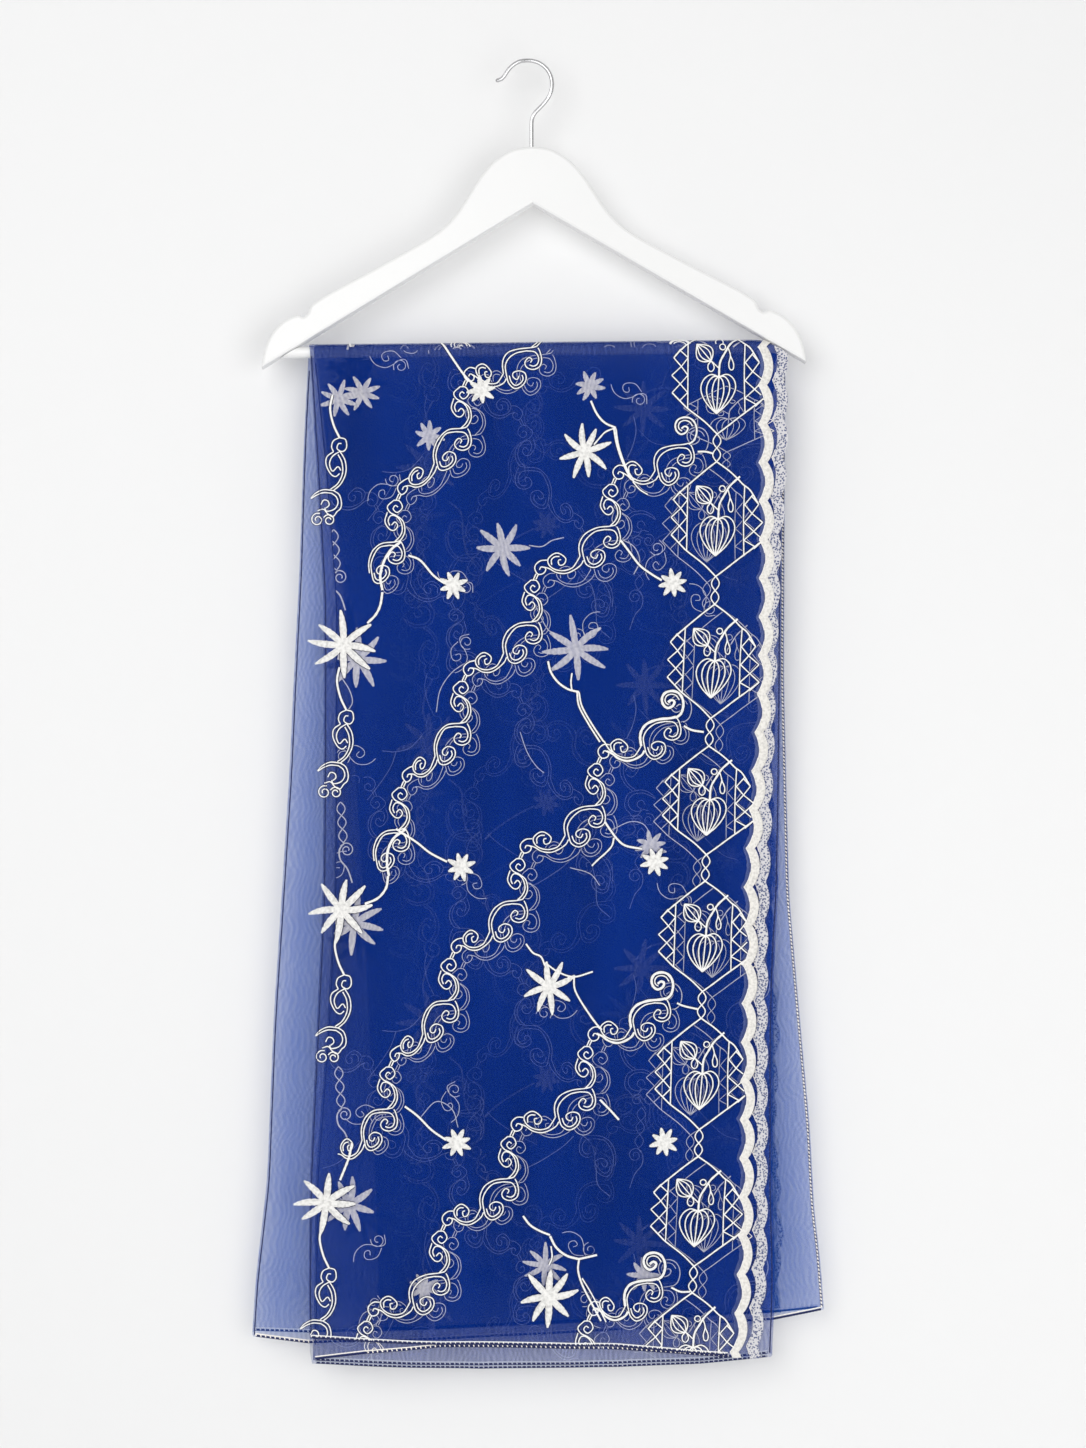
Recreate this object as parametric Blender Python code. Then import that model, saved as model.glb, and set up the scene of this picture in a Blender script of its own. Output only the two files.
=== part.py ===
"""Dupatta stole, folded lengthwise in four and hung over the trouser bar of a
painted wooden hanger.  Metres, +Z up, front faces -Y, origin at the highest
point inside the hook, where a rail or peg would touch it."""
import math

import bmesh
import bpy
from mathutils import Matrix, Vector

MM = 0.001

# ------------------------------------------------------------------ hanger
HANGER_AXIS_X = 3.0          # stem axis, right of the hook's inside top
HEAD_TOP_Z = -69.8           # top of the wooden head
HANGER_TILT_DEG = 0.6        # the loaded hanger hangs a little low at its left
BODY_THICKNESS = 14.0
BODY_EDGE_ROUND = 2.2
UNDER_APEX_DOWN = 46.4       # straight underside: apex below the head top
ARM_TIP_OUT = 221.8
ARM_TIP_DOWN = 178.2
BAR_RADIUS = 4.65
BAR_DOWN = 165.1             # bar centre below the head top
BAR_END_GAP = 0.35
WIRE_RADIUS = 1.7

# half outline of the body: distance out from the axis, distance below the top
BODY_HALF = [
    # (out, down)
    (0.0, 0.0), (9.8, 1.0), (17.9, 3.3), (26.0, 8.1), (33.4, 14.2),
    (42.3, 24.8), (50.5, 37.4), (60.2, 52.1), (70.0, 63.1), (83.0, 72.8),
    (99.3, 82.2), (131.8, 99.7), (164.4, 116.8), (178.2, 125.3),
    (181.9, 129.4), (183.1, 133.1), (187.2, 136.7), (191.6, 135.1),
    (197.7, 137.1), (204.3, 140.8), (212.8, 149.7), (218.5, 161.1),
    (221.3, 172.0),
]

# hook wire centre line, from the free end round and down to the head
HOOK_LINE = [
    # (x, z)
    (-24.9, -14.6), (-21.5, -13.3), (-18.8, -10.2), (-15.4, -5.1),
    (-10.6, -1.0), (-6.0, 1.1), (0.0, 1.7), (5.0, 1.1), (9.8, -0.7),
    (15.3, -5.1), (18.6, -10.9), (19.7, -17.0), (19.0, -23.1),
    (16.2, -29.2), (11.2, -35.4), (6.4, -40.2), (3.9, -44.3),
    (3.0, -48.8), (3.0, -56.0), (3.0, -69.2),
]

# ------------------------------------------------------------------- cloth
WALL = 1.0                   # thickness of each cloth wall
GAP = 0.3                    # between neighbouring layers
TRIM_SEAM = 0.9              # between a layer and the trim along its edge
BAR_CLEAR = 0.3              # between the bar and the innermost layer
LAYER_RADII = {              # inner radius of each layer where it rounds the bar
    "inner": BAR_RADIUS + BAR_CLEAR,
    "second": BAR_RADIUS + BAR_CLEAR + WALL + GAP,
    "outer": BAR_RADIUS + BAR_CLEAR + 2.0 * (WALL + GAP),
}
OVER_BAR_LEFT = -180.9       # cloth over the bar, from the hanger's axis
OVER_BAR_RIGHT = 184.0
ARC_STEPS = 12

TRIM_WIDTH = 7.4             # scalloped trim
TRIM_BULGE = 4.0
TRIM_PITCH = 31.0

FRONT_FAN = {"inner": 1.0, "second": 3.0, "outer": 5.0}
BACK_FAN = {"inner": 1.0, "second": 2.4, "outer": 4.0}
FRONT_WAVE = 2.2
BACK_WAVE = 3.0

# side lines of the drops: height z, x at that height
FRONT_OUTER_LEFT = [
    # (z, x)
    (-231.8, -177.3), (-333.5, -170.8), (-439.3, -165.1), (-561.3, -165.1),
    (-683.3, -165.9), (-805.3, -171.6), (-911.0, -176.5), (-1008.6, -177.3),
    (-1066.0, -175.6),
]
FRONT_SECOND_LEFT = [
    # (z, x)
    (-231.7, -174.9), (-333.4, -164.3), (-439.2, -156.2), (-561.3, -156.2),
    (-683.3, -157.0), (-805.4, -163.5), (-911.2, -171.7), (-1008.9, -172.5),
    (-1060.1, -174.0),
]
FRONT_TRIM_CENTRE = [
    # (z, x)
    (-232.0, 192.7), (-358.0, 193.5), (-439.3, 193.5), (-488.1, 192.7),
    (-532.8, 191.1), (-579.1, 187.0), (-610.0, 185.4), (-657.2, 181.4),
    (-708.4, 180.5), (-749.9, 179.6), (-832.8, 177.9), (-902.7, 177.0),
    (-979.9, 175.4), (-1019.0, 173.2), (-1058.0, 168.0),
]
SECOND_TRIM_CENTRE = [
    # (z, x)
    (-235.8, 202.7), (-309.0, 202.7), (-353.8, 201.0), (-396.1, 197.8),
    (-520.6, 192.9), (-642.7, 188.8), (-724.0, 186.4), (-858.3, 186.4),
    (-976.3, 186.0), (-1009.7, 184.0), (-1034.1, 182.3), (-1058.0, 179.9),
]
FRONT_FOLD_RIGHT = [
    # (z, x)
    (-235.6, 207.6), (-300.7, 207.6), (-398.4, 206.0), (-520.6, 205.2),
    (-602.0, 204.4), (-683.4, 202.8), (-732.3, 199.6), (-797.4, 198.0),
    (-870.7, 197.9), (-927.7, 197.9), (-976.5, 199.5), (-1009.1, 199.5),
    (-1066.0, 197.1),
]
BACK_FOLD_LEFT = [
    # (z, x)
    (-229.5, -178.7), (-291.0, -182.0), (-331.9, -183.6), (-417.2, -186.3),
    (-493.4, -190.2), (-581.1, -194.3), (-684.4, -200.9), (-782.7, -207.4),
    (-913.9, -212.7), (-949.1, -216.8), (-995.8, -222.2), (-1050.0, -225.6),
]
BACK_FOLD_RIGHT = [
    # (z, x)
    (-233.6, 210.6), (-356.5, 209.8), (-504.1, 209.0), (-680.3, 213.1),
    (-774.5, 221.2), (-872.9, 230.0), (-940.9, 233.5), (-972.0, 237.6),
    (-1030.0, 242.2),
]
BACK_SECOND_LEFT = [
    # (z, x)
    (-231.7, -174.0), (-439.2, -150.0), (-683.3, -134.0), (-911.2, -124.0),
    (-1050.0, -120.0),
]
BACK_TRIM_CENTRE = [
    # (z, x)
    (-232.0, 196.0), (-439.3, 195.0), (-657.2, 198.0), (-832.8, 200.0),
    (-979.9, 203.0), (-1045.0, 204.0),
]

# lower edges: x, height of the hem there
FRONT_OUTER_HEM = [
    # (x, z)
    (-175.5, -1039.1), (-71.5, -1043.9), (71.6, -1045.6), (168.3, -1052.9),
    (200.0, -1054.0),
]
FRONT_SECOND_HEM = [
    # (x, z)
    (-174.8, -1057.4), (-132.5, -1051.7), (-71.5, -1046.5), (71.6, -1048.5),
    (179.8, -1055.2), (200.0, -1055.5),
]
FRONT_INNER_HEM = [
    # (x, z)
    (-175.0, -1061.2), (-39.0, -1065.3), (71.7, -1063.6), (140.1, -1060.4),
    (197.1, -1055.5),
]
BACK_INNER_HEM = [
    # (x, z)
    (-224.6, -1041.7), (-180.4, -1047.5), (9.8, -1040.9), (200.8, -1027.8),
    (241.7, -1019.6),
]
BACK_SECOND_HEM = [
    # (x, z)
    (-120.0, -1036.0), (9.8, -1032.0), (200.8, -1022.0), (215.0, -1021.0),
]
BACK_OUTER_HEM = [
    # (x, z)
    (-224.6, -1038.4), (-180.4, -1040.0), (9.8, -1034.0), (204.0, -1023.0),
    (215.0, -1022.0),
]

COLUMNS = 12
ROWS = 16


def clear_scene():
    for obj in list(bpy.data.objects):
        bpy.data.objects.remove(obj, do_unlink=True)


def material(name, colour, roughness, metallic=0.0):
    mat = bpy.data.materials.new(name)
    mat.use_nodes = True
    bsdf = mat.node_tree.nodes["Principled BSDF"]
    bsdf.inputs["Base Color"].default_value = (*colour, 1.0)
    bsdf.inputs["Roughness"].default_value = roughness
    bsdf.inputs["Metallic"].default_value = metallic
    mat.diffuse_color = (*colour, 1.0)
    return mat


def interp(table, key):
    """Linear reading of a two-column table, kept inside its ends."""
    rows = sorted(table)
    if key <= rows[0][0]:
        return rows[0][1]
    for (a, va), (b, vb) in zip(rows, rows[1:]):
        if key <= b:
            return va + (vb - va) * (key - a) / (b - a)
    return rows[-1][1]


def smooth_line(points, steps):
    """Catmull-Rom points through a list of 2-D points."""
    out = []
    pts = [points[0]] + list(points) + [points[-1]]
    for i in range(1, len(pts) - 2):
        p0, p1, p2, p3 = pts[i - 1], pts[i], pts[i + 1], pts[i + 2]
        for k in range(steps):
            t = k / steps
            out.append(tuple(
                0.5 * (2 * p1[c] + (p2[c] - p0[c]) * t
                       + (2 * p0[c] - 5 * p1[c] + 4 * p2[c] - p3[c]) * t * t
                       + (3 * p1[c] - p0[c] - 3 * p2[c] + p3[c]) * t ** 3)
                for c in range(2)))
    out.append(tuple(points[-1]))
    return out


def add_object(name, verts, faces, mat, smooth=True, sharp_deg=40.0, matrix=None):
    mesh = bpy.data.meshes.new(name)
    mesh.from_pydata([Vector(v) * MM for v in verts], [], faces)
    bm = bmesh.new()
    bm.from_mesh(mesh)
    bmesh.ops.recalc_face_normals(bm, faces=bm.faces)
    if smooth:
        for face in bm.faces:
            face.smooth = True
        for edge in bm.edges:
            if len(edge.link_faces) == 2:
                edge.smooth = edge.calc_face_angle() < math.radians(sharp_deg)
    bm.to_mesh(mesh)
    bm.free()
    mesh.materials.append(mat)
    obj = bpy.data.objects.new(name, mesh)
    bpy.context.scene.collection.objects.link(obj)
    if matrix is not None:
        obj.matrix_world = matrix
    return obj


# ------------------------------------------------------------ hanger frame
def hanger_matrix():
    """Places what is drawn from the head's top, tilted with the hanger."""
    return (Matrix.Translation(Vector((HANGER_AXIS_X, 0.0, HEAD_TOP_Z)) * MM)
            @ Matrix.Rotation(math.radians(-HANGER_TILT_DEG), 4, "Y"))


def bar_centre_z(x):
    tilt = math.radians(HANGER_TILT_DEG)
    foot = HANGER_AXIS_X + BAR_DOWN * math.sin(tilt)
    return HEAD_TOP_Z - BAR_DOWN * math.cos(tilt) + (x - foot) * math.tan(tilt)


def underside_slope():
    return (ARM_TIP_DOWN - UNDER_APEX_DOWN) / ARM_TIP_OUT


def arm_under_z(x):
    """Height of the right arm's underside at a world x."""
    tilt = math.radians(HANGER_TILT_DEG)
    out = x - HANGER_AXIS_X
    down = UNDER_APEX_DOWN + underside_slope() * out
    out = x - HANGER_AXIS_X - down * math.sin(tilt)
    down = UNDER_APEX_DOWN + underside_slope() * out
    return HEAD_TOP_Z - down * math.cos(tilt) + out * math.sin(tilt)


def build_hanger_body(mat):
    half = smooth_line(BODY_HALF, 3) + [(ARM_TIP_OUT, ARM_TIP_DOWN)]
    right = [(x, -d) for x, d in half]
    outline = right + [(0.0, -UNDER_APEX_DOWN)]
    outline += [(-x, z) for x, z in reversed(right[1:])]
    bm = bmesh.new()
    y0 = -BODY_THICKNESS / 2
    loop = [bm.verts.new(Vector((x, y0, z)) * MM) for x, z in outline]
    face = bm.faces.new(loop)
    grown = bmesh.ops.extrude_face_region(bm, geom=[face])
    moved = [g for g in grown["geom"] if isinstance(g, bmesh.types.BMVert)]
    bmesh.ops.translate(bm, verts=moved, vec=(0, BODY_THICKNESS * MM, 0))
    bmesh.ops.recalc_face_normals(bm, faces=bm.faces)
    rim = [e for e in bm.edges
           if abs(e.verts[0].co.y - e.verts[1].co.y) < 1e-7
           and any(abs(f.normal.y) > 0.9 for f in e.link_faces)]
    bmesh.ops.bevel(bm, geom=rim, offset=BODY_EDGE_ROUND * MM, segments=2,
                    profile=0.5, affect="EDGES", clamp_overlap=True)
    bmesh.ops.recalc_face_normals(bm, faces=bm.faces)
    for f in bm.faces:
        f.smooth = True
    for e in bm.edges:
        if len(e.link_faces) == 2:
            flat = sum(abs(f.normal.y) > 0.999 for f in e.link_faces)
            e.smooth = flat != 1 and e.calc_face_angle() < math.radians(40)
    mesh = bpy.data.meshes.new("hanger_body")
    bm.to_mesh(mesh)
    bm.free()
    mesh.materials.append(mat)
    obj = bpy.data.objects.new("hanger_body", mesh)
    bpy.context.scene.collection.objects.link(obj)
    obj.matrix_world = hanger_matrix()
    return obj


def build_bar(mat):
    sides = 24
    verts, faces = [], []
    gap = BAR_END_GAP / math.sin(math.atan(underside_slope()))
    for end in (-1, 1):
        for i in range(sides):
            a = 2 * math.pi * i / sides
            down = BAR_DOWN - BAR_RADIUS * math.sin(a)
            out = (down - UNDER_APEX_DOWN) / underside_slope() - gap
            verts.append((end * out, BAR_RADIUS * math.cos(a), -down))
    for i in range(sides):
        j = (i + 1) % sides
        faces.append((i, j, sides + j, sides + i))
    faces.append(tuple(range(sides)))
    faces.append(tuple(range(sides, 2 * sides)))
    return add_object("trouser_bar", verts, faces, mat, matrix=hanger_matrix())


def build_hook(mat):
    line = smooth_line(HOOK_LINE, 2)
    sides = 12
    rings = []
    count = len(line)
    for i, (x, z) in enumerate(line):
        a = line[max(0, i - 1)]
        b = line[min(count - 1, i + 1)]
        tx, tz = b[0] - a[0], b[1] - a[1]
        n = math.hypot(tx, tz)
        tx, tz = tx / n, tz / n
        rings.append((x, z, tx, tz, WIRE_RADIUS))
    x, z, tx, tz, r = rings[0]
    nose = [(x - tx * r * s, z - tz * r * s, tx, tz, r * c)
            for s, c in ((0.97, 0.30), (0.75, 0.68), (0.42, 0.92))]
    rings = nose + rings
    verts, faces = [], []
    for x, z, tx, tz, r in rings:
        for k in range(sides):
            a = 2 * math.pi * k / sides
            verts.append((x - tz * r * math.cos(a), r * math.sin(a),
                          z + tx * r * math.cos(a)))
    for i in range(len(rings) - 1):
        for k in range(sides):
            m = (k + 1) % sides
            faces.append((i * sides + k, i * sides + m,
                          (i + 1) * sides + m, (i + 1) * sides + k))
    faces.append(tuple(range(sides)))
    last = (len(rings) - 1) * sides
    faces.append(tuple(range(last, last + sides)))
    return add_object("hook", verts, faces, mat)


# ------------------------------------------------------------------ cloth
def ease(t):
    t = max(0.0, min(1.0, t))
    return t * t * (3 - 2 * t)


def front_wave(x, down):
    size = FRONT_WAVE * ease(down / 520.0)
    return size * (0.65 * math.sin(x / 36.0 + 0.5 + down / 900.0)
                   + 0.45 * math.sin(x / 21.0 - 1.1 - down / 500.0))


def back_wave(x, down):
    size = BACK_WAVE * ease(down / 520.0)
    return size * (0.6 * math.sin(x / 44.0 + 2.0 - down / 800.0)
                   + 0.4 * math.sin(x / 25.0 + 0.3 + down / 600.0))


def face_y(side, layer, x, z):
    """y of the layer's face nearer the bar; side -1 is front, +1 is back."""
    down = max(0.0, bar_centre_z(x) - z)
    if side < 0:
        away = FRONT_FAN[layer] * ease(down / 850.0)
        return -(LAYER_RADII[layer] + away) + front_wave(x, down)
    away = BACK_FAN[layer] * ease(down / 850.0)
    return LAYER_RADII[layer] + away + back_wave(x, down)


def top_z(x):
    return min(bar_centre_z(x), arm_under_z(x)) - 0.4


def wall_from_grid(name, near, far, mat):
    """Closed wall between two equal grids of points."""
    rows, cols = len(near), len(near[0])
    verts = [p for row in near for p in row] + [p for row in far for p in row]
    base = rows * cols
    faces = []
    for r in range(rows - 1):
        for c in range(cols - 1):
            a = r * cols + c
            faces.append((a, a + 1, a + cols + 1, a + cols))
            b = base + a
            faces.append((b, b + cols, b + cols + 1, b + 1))
    for c in range(cols - 1):
        a, b = c, (rows - 1) * cols + c
        faces.append((a, base + a, base + a + 1, a + 1))
        faces.append((b, b + 1, base + b + 1, base + b))
    for r in range(rows - 1):
        a, b = r * cols, r * cols + cols - 1
        faces.append((a, a + cols, base + a + cols, base + a))
        faces.append((b, base + b, base + b + cols, b + cols))
    return add_object(name, verts, faces, mat)


def build_drop(name, side, layer, left, right, hem, mat):
    """One hanging stretch; left and right are functions of height."""
    near, far = [], []
    for r in range(ROWS + 1):
        v = r / ROWS
        row_n, row_f = [], []
        for c in range(COLUMNS + 1):
            u = c / COLUMNS
            x_low = left(-1045.0) + (right(-1045.0) - left(-1045.0)) * u
            x_top = left(-236.0) + (right(-236.0) - left(-236.0)) * u
            z = top_z(x_top) + (interp(hem, x_low) - top_z(x_top)) * v
            x = left(z) + (right(z) - left(z)) * u
            y = face_y(side, layer, x, z)
            row_n.append((x, y, z))
            row_f.append((x, y + side * WALL, z))
        near.append(row_n)
        far.append(row_f)
    return wall_from_grid(name, near, far, mat)


def trim_inner(centre, z):
    return interp(centre, z) - (TRIM_WIDTH + TRIM_BULGE) / 2


def build_trim(name, side, layer, centre, hem, mat, steps=4):
    """Scalloped strip in the plane of its layer, bulging out to the right."""
    x0 = interp(centre, -236.0)
    z0 = top_z(x0 + TRIM_WIDTH)
    z1 = interp(hem, interp(centre, -1045.0))
    count = round((z0 - z1) / TRIM_PITCH)
    total = count * steps
    near, far = [], []
    for i in range(total + 1):
        z = z0 + (z1 - z0) * i / total
        share = (i % steps) / steps
        bulge = TRIM_BULGE * math.sin(math.pi * share) ** 0.8
        inner = trim_inner(centre, z) + TRIM_SEAM
        outer = trim_inner(centre, z) + TRIM_WIDTH + bulge
        row_n, row_f = [], []
        for x in (inner, outer):
            y = face_y(side, layer, x, z)
            row_n.append((x, y, z))
            row_f.append((x, y + side * WALL, z))
        near.append(row_n)
        far.append(row_f)
    return wall_from_grid(name, near, far, mat)


def build_over_bar(name, layer, mat):
    """Half tube of one layer where it rounds the bar."""
    r_in = LAYER_RADII[layer]
    near, far = [], []
    for i in range(ARC_STEPS + 1):
        a = math.pi * i / ARC_STEPS
        row_n, row_f = [], []
        for out in (OVER_BAR_LEFT, OVER_BAR_RIGHT):
            row_n.append((out, -r_in * math.cos(a),
                          -BAR_DOWN + r_in * math.sin(a)))
            row_f.append((out, -(r_in + WALL) * math.cos(a),
                          -BAR_DOWN + (r_in + WALL) * math.sin(a)))
        near.append(row_n)
        far.append(row_f)
    obj = wall_from_grid(name, near, far, mat)
    obj.matrix_world = hanger_matrix()
    return obj


def main():
    clear_scene()
    paint = material("white_paint", (0.86, 0.86, 0.85), 0.42)
    bar_paint = material("white_paint_bar", (0.86, 0.86, 0.85), 0.40)
    steel = material("bright_steel", (0.62, 0.62, 0.63), 0.22, 1.0)
    build_hanger_body(paint)
    build_bar(bar_paint)
    build_hook(steel)

    blue = (0.010, 0.045, 0.30)
    for layer in ("inner", "second", "outer"):
        build_over_bar("over_bar_" + layer, layer,
                       material("organza_over_bar_" + layer, blue, 0.55))

    build_drop("front_outer", -1, "outer",
               lambda z: interp(FRONT_OUTER_LEFT, z),
               lambda z: trim_inner(FRONT_TRIM_CENTRE, z),
               FRONT_OUTER_HEM, material("organza_front_outer", blue, 0.55))
    build_drop("front_second", -1, "second",
               lambda z: interp(FRONT_SECOND_LEFT, z),
               lambda z: trim_inner(SECOND_TRIM_CENTRE, z),
               FRONT_SECOND_HEM, material("organza_front_second", blue, 0.55))
    build_drop("front_inner_fold", -1, "inner",
               lambda z: interp(FRONT_OUTER_LEFT, z),
               lambda z: interp(FRONT_FOLD_RIGHT, z),
               FRONT_INNER_HEM, material("organza_front_inner", blue, 0.55))
    build_drop("back_inner_fold", 1, "inner",
               lambda z: interp(BACK_FOLD_LEFT, z),
               lambda z: interp(BACK_FOLD_RIGHT, z),
               BACK_INNER_HEM, material("organza_back_inner", blue, 0.55))
    build_drop("back_second", 1, "second",
               lambda z: interp(BACK_SECOND_LEFT, z),
               lambda z: trim_inner(BACK_TRIM_CENTRE, z),
               BACK_SECOND_HEM, material("organza_back_second", blue, 0.55))
    build_drop("back_outer", 1, "outer",
               lambda z: interp(BACK_FOLD_LEFT, z),
               lambda z: trim_inner(BACK_TRIM_CENTRE, z),
               BACK_OUTER_HEM, material("organza_back_outer", blue, 0.55))

    thread = (0.80, 0.77, 0.71)
    build_trim("trim_front_outer", -1, "outer", FRONT_TRIM_CENTRE,
               FRONT_OUTER_HEM, material("thread_front_outer", thread, 0.7))
    build_trim("trim_front_second", -1, "second", SECOND_TRIM_CENTRE,
               FRONT_SECOND_HEM, material("thread_front_second", thread, 0.7))
    build_trim("trim_back_second", 1, "second", BACK_TRIM_CENTRE,
               BACK_SECOND_HEM, material("thread_back_second", thread, 0.7))
    build_trim("trim_back_outer", 1, "outer", BACK_TRIM_CENTRE,
               BACK_OUTER_HEM, material("thread_back_outer", thread, 0.7))


main()
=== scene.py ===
"""Looks of the dupatta stole: one sheet of embroidered organza, folded lengthwise
in four and hung over the trouser bar of a white hanger.  Millimetres are used in
the tables; the scene is in metres.  Motifs are drawn by functions on a grid
whose step, STEP millimetres, is one pixel of the photo at the cloth; their places
and the short tables of the single units were read off the photo."""

import math
import random

import bmesh
import bpy
import numpy as np
from mathutils import Matrix, Vector


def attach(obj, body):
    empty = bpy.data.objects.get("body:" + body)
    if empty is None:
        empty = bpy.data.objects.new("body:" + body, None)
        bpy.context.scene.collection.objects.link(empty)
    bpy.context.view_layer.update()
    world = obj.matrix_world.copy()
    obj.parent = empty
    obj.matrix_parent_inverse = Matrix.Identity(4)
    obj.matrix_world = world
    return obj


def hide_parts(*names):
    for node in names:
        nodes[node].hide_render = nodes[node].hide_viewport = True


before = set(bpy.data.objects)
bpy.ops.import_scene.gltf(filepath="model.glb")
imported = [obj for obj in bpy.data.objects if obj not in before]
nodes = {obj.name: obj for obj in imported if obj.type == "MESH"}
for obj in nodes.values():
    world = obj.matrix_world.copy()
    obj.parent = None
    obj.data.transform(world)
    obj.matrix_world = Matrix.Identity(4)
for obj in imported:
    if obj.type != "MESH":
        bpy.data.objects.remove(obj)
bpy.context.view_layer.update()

MM = 0.001
STEP = 0.812            # one photo pixel at the cloth, mm
random.seed(7)
RNG = np.random.default_rng(11)

# ------------------------------------------------------------ hanger figures
AXIS_X, HEAD_Z, TILT = 3.0, -69.8, math.radians(0.6)
BAR_DOWN, BAR_R = 165.1, 4.65
UNDER_APEX, TIP_OUT, TIP_DOWN = 46.4, 221.8, 178.2
SLOPE = (TIP_DOWN - UNDER_APEX) / TIP_OUT


def bar_z(x):
    foot = AXIS_X + BAR_DOWN * math.sin(TILT)
    return HEAD_Z - BAR_DOWN * math.cos(TILT) + (x - foot) * math.tan(TILT)


def under_z(x):
    """Underside of the arm above x."""
    side = np.sign(x - AXIS_X)
    out = np.abs(x - AXIS_X)
    for _ in range(2):
        down = UNDER_APEX + SLOPE * out
        out = np.abs(x - AXIS_X - down * math.sin(TILT))
    return HEAD_Z - (UNDER_APEX + SLOPE * out) * math.cos(TILT) + side * out * math.sin(TILT)


# ---------------------------------------------------------------- side lines
# height z (mm), x (mm)
LEFT_1 = [(-231.8, -177.3), (-333.5, -170.8), (-439.3, -165.1), (-561.3, -165.1),
          (-683.3, -165.9), (-805.3, -171.6), (-911.0, -176.5), (-1008.6, -177.3),
          (-1066.0, -175.6)]
LEFT_2 = [(-231.7, -174.9), (-333.4, -164.3), (-439.2, -156.2), (-561.3, -156.2),
          (-683.3, -157.0), (-805.4, -163.5), (-911.2, -171.7), (-1008.9, -172.5),
          (-1060.1, -174.0)]
EDGE_A = [(-232.0, 192.7), (-358.0, 193.5), (-439.3, 193.5), (-488.1, 192.7),
          (-532.8, 191.1), (-579.1, 187.0), (-610.0, 185.4), (-657.2, 181.4),
          (-708.4, 180.5), (-749.9, 179.6), (-832.8, 177.9), (-902.7, 177.0),
          (-979.9, 175.4), (-1019.0, 173.2), (-1058.0, 168.0)]
EDGE_B = [(-235.8, 202.7), (-309.0, 202.7), (-353.8, 201.0), (-396.1, 197.8),
          (-520.6, 192.9), (-642.7, 188.8), (-724.0, 186.4), (-858.3, 186.4),
          (-976.3, 186.0), (-1009.7, 184.0), (-1034.1, 182.3), (-1058.0, 179.9)]
RIGHT_F = [(-235.6, 207.6), (-300.7, 207.6), (-398.4, 206.0), (-520.6, 205.2),
           (-602.0, 204.4), (-683.4, 202.8), (-732.3, 199.6), (-797.4, 198.0),
           (-870.7, 197.9), (-927.7, 197.9), (-976.5, 199.5), (-1009.1, 199.5),
           (-1066.0, 197.1)]
LEFT_K = [(-229.5, -178.7), (-291.0, -182.0), (-331.9, -183.6), (-417.2, -186.3),
          (-493.4, -190.2), (-581.1, -194.3), (-684.4, -200.9), (-782.7, -207.4),
          (-913.9, -212.7), (-949.1, -216.8), (-995.8, -222.2), (-1050.0, -225.6)]
LEFT_K2 = [(-231.7, -174.0), (-439.2, -150.0), (-683.3, -134.0), (-911.2, -124.0),
           (-1050.0, -120.0)]
RIGHT_K = [(-233.6, 210.6), (-356.5, 209.8), (-504.1, 209.0), (-680.3, 213.1),
           (-774.5, 221.2), (-872.9, 230.0), (-940.9, 233.5), (-972.0, 237.6),
           (-1030.0, 242.2)]
EDGE_K = [(-232.0, 196.0), (-439.3, 195.0), (-657.2, 198.0), (-832.8, 200.0),
          (-979.9, 203.0), (-1045.0, 204.0)]
# x (mm), hem height z (mm)
HEM_1 = [(-175.5, -1039.1), (-71.5, -1043.9), (71.6, -1045.6), (168.3, -1052.9),
         (200.0, -1054.0)]
HEM_2 = [(-174.8, -1057.4), (-132.5, -1051.7), (-71.5, -1046.5), (71.6, -1048.5),
         (179.8, -1055.2), (200.0, -1052.0)]
HEM_4 = [(-175.0, -1061.2), (-39.0, -1065.3), (71.7, -1063.6), (140.1, -1060.4),
         (197.1, -1055.5)]
HEM_K1 = [(-224.6, -1038.4), (-180.4, -1040.0), (9.8, -1034.0), (204.0, -1023.0),
          (215.0, -1022.0)]
HEM_K2 = [(-120.0, -1036.0), (9.8, -1032.0), (200.8, -1022.0), (242.0, -1018.0)]
HEM_K4 = [(-224.6, -1041.7), (-180.4, -1047.5), (9.8, -1040.9), (200.8, -1027.8),
          (241.7, -1019.6)]
TRIM_HALF = 0.4


def table(rows):
    rows = sorted(rows)
    xs = np.array([r[0] for r in rows])
    ys = np.array([r[1] for r in rows])
    # softened reading: mean of three nearby readings
    def read(v, soft=14.0):
        v = np.asarray(v, float)
        return (np.interp(v - soft, xs, ys) + np.interp(v, xs, ys) * 2
                + np.interp(v + soft, xs, ys)) / 4
    return read


def hem_table(rows):
    rows = sorted(rows)
    xs = np.array([r[0] for r in rows])
    ys = np.array([r[1] for r in rows])
    return lambda v: np.interp(v, xs, ys)


edge_a, edge_b, edge_k = table(EDGE_A), table(EDGE_B), table(EDGE_K)
left_1, left_2 = table(LEFT_1), table(LEFT_2)
right_f, right_k = table(RIGHT_F), table(RIGHT_K)
left_k, left_k2 = table(LEFT_K), table(LEFT_K2)

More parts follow.
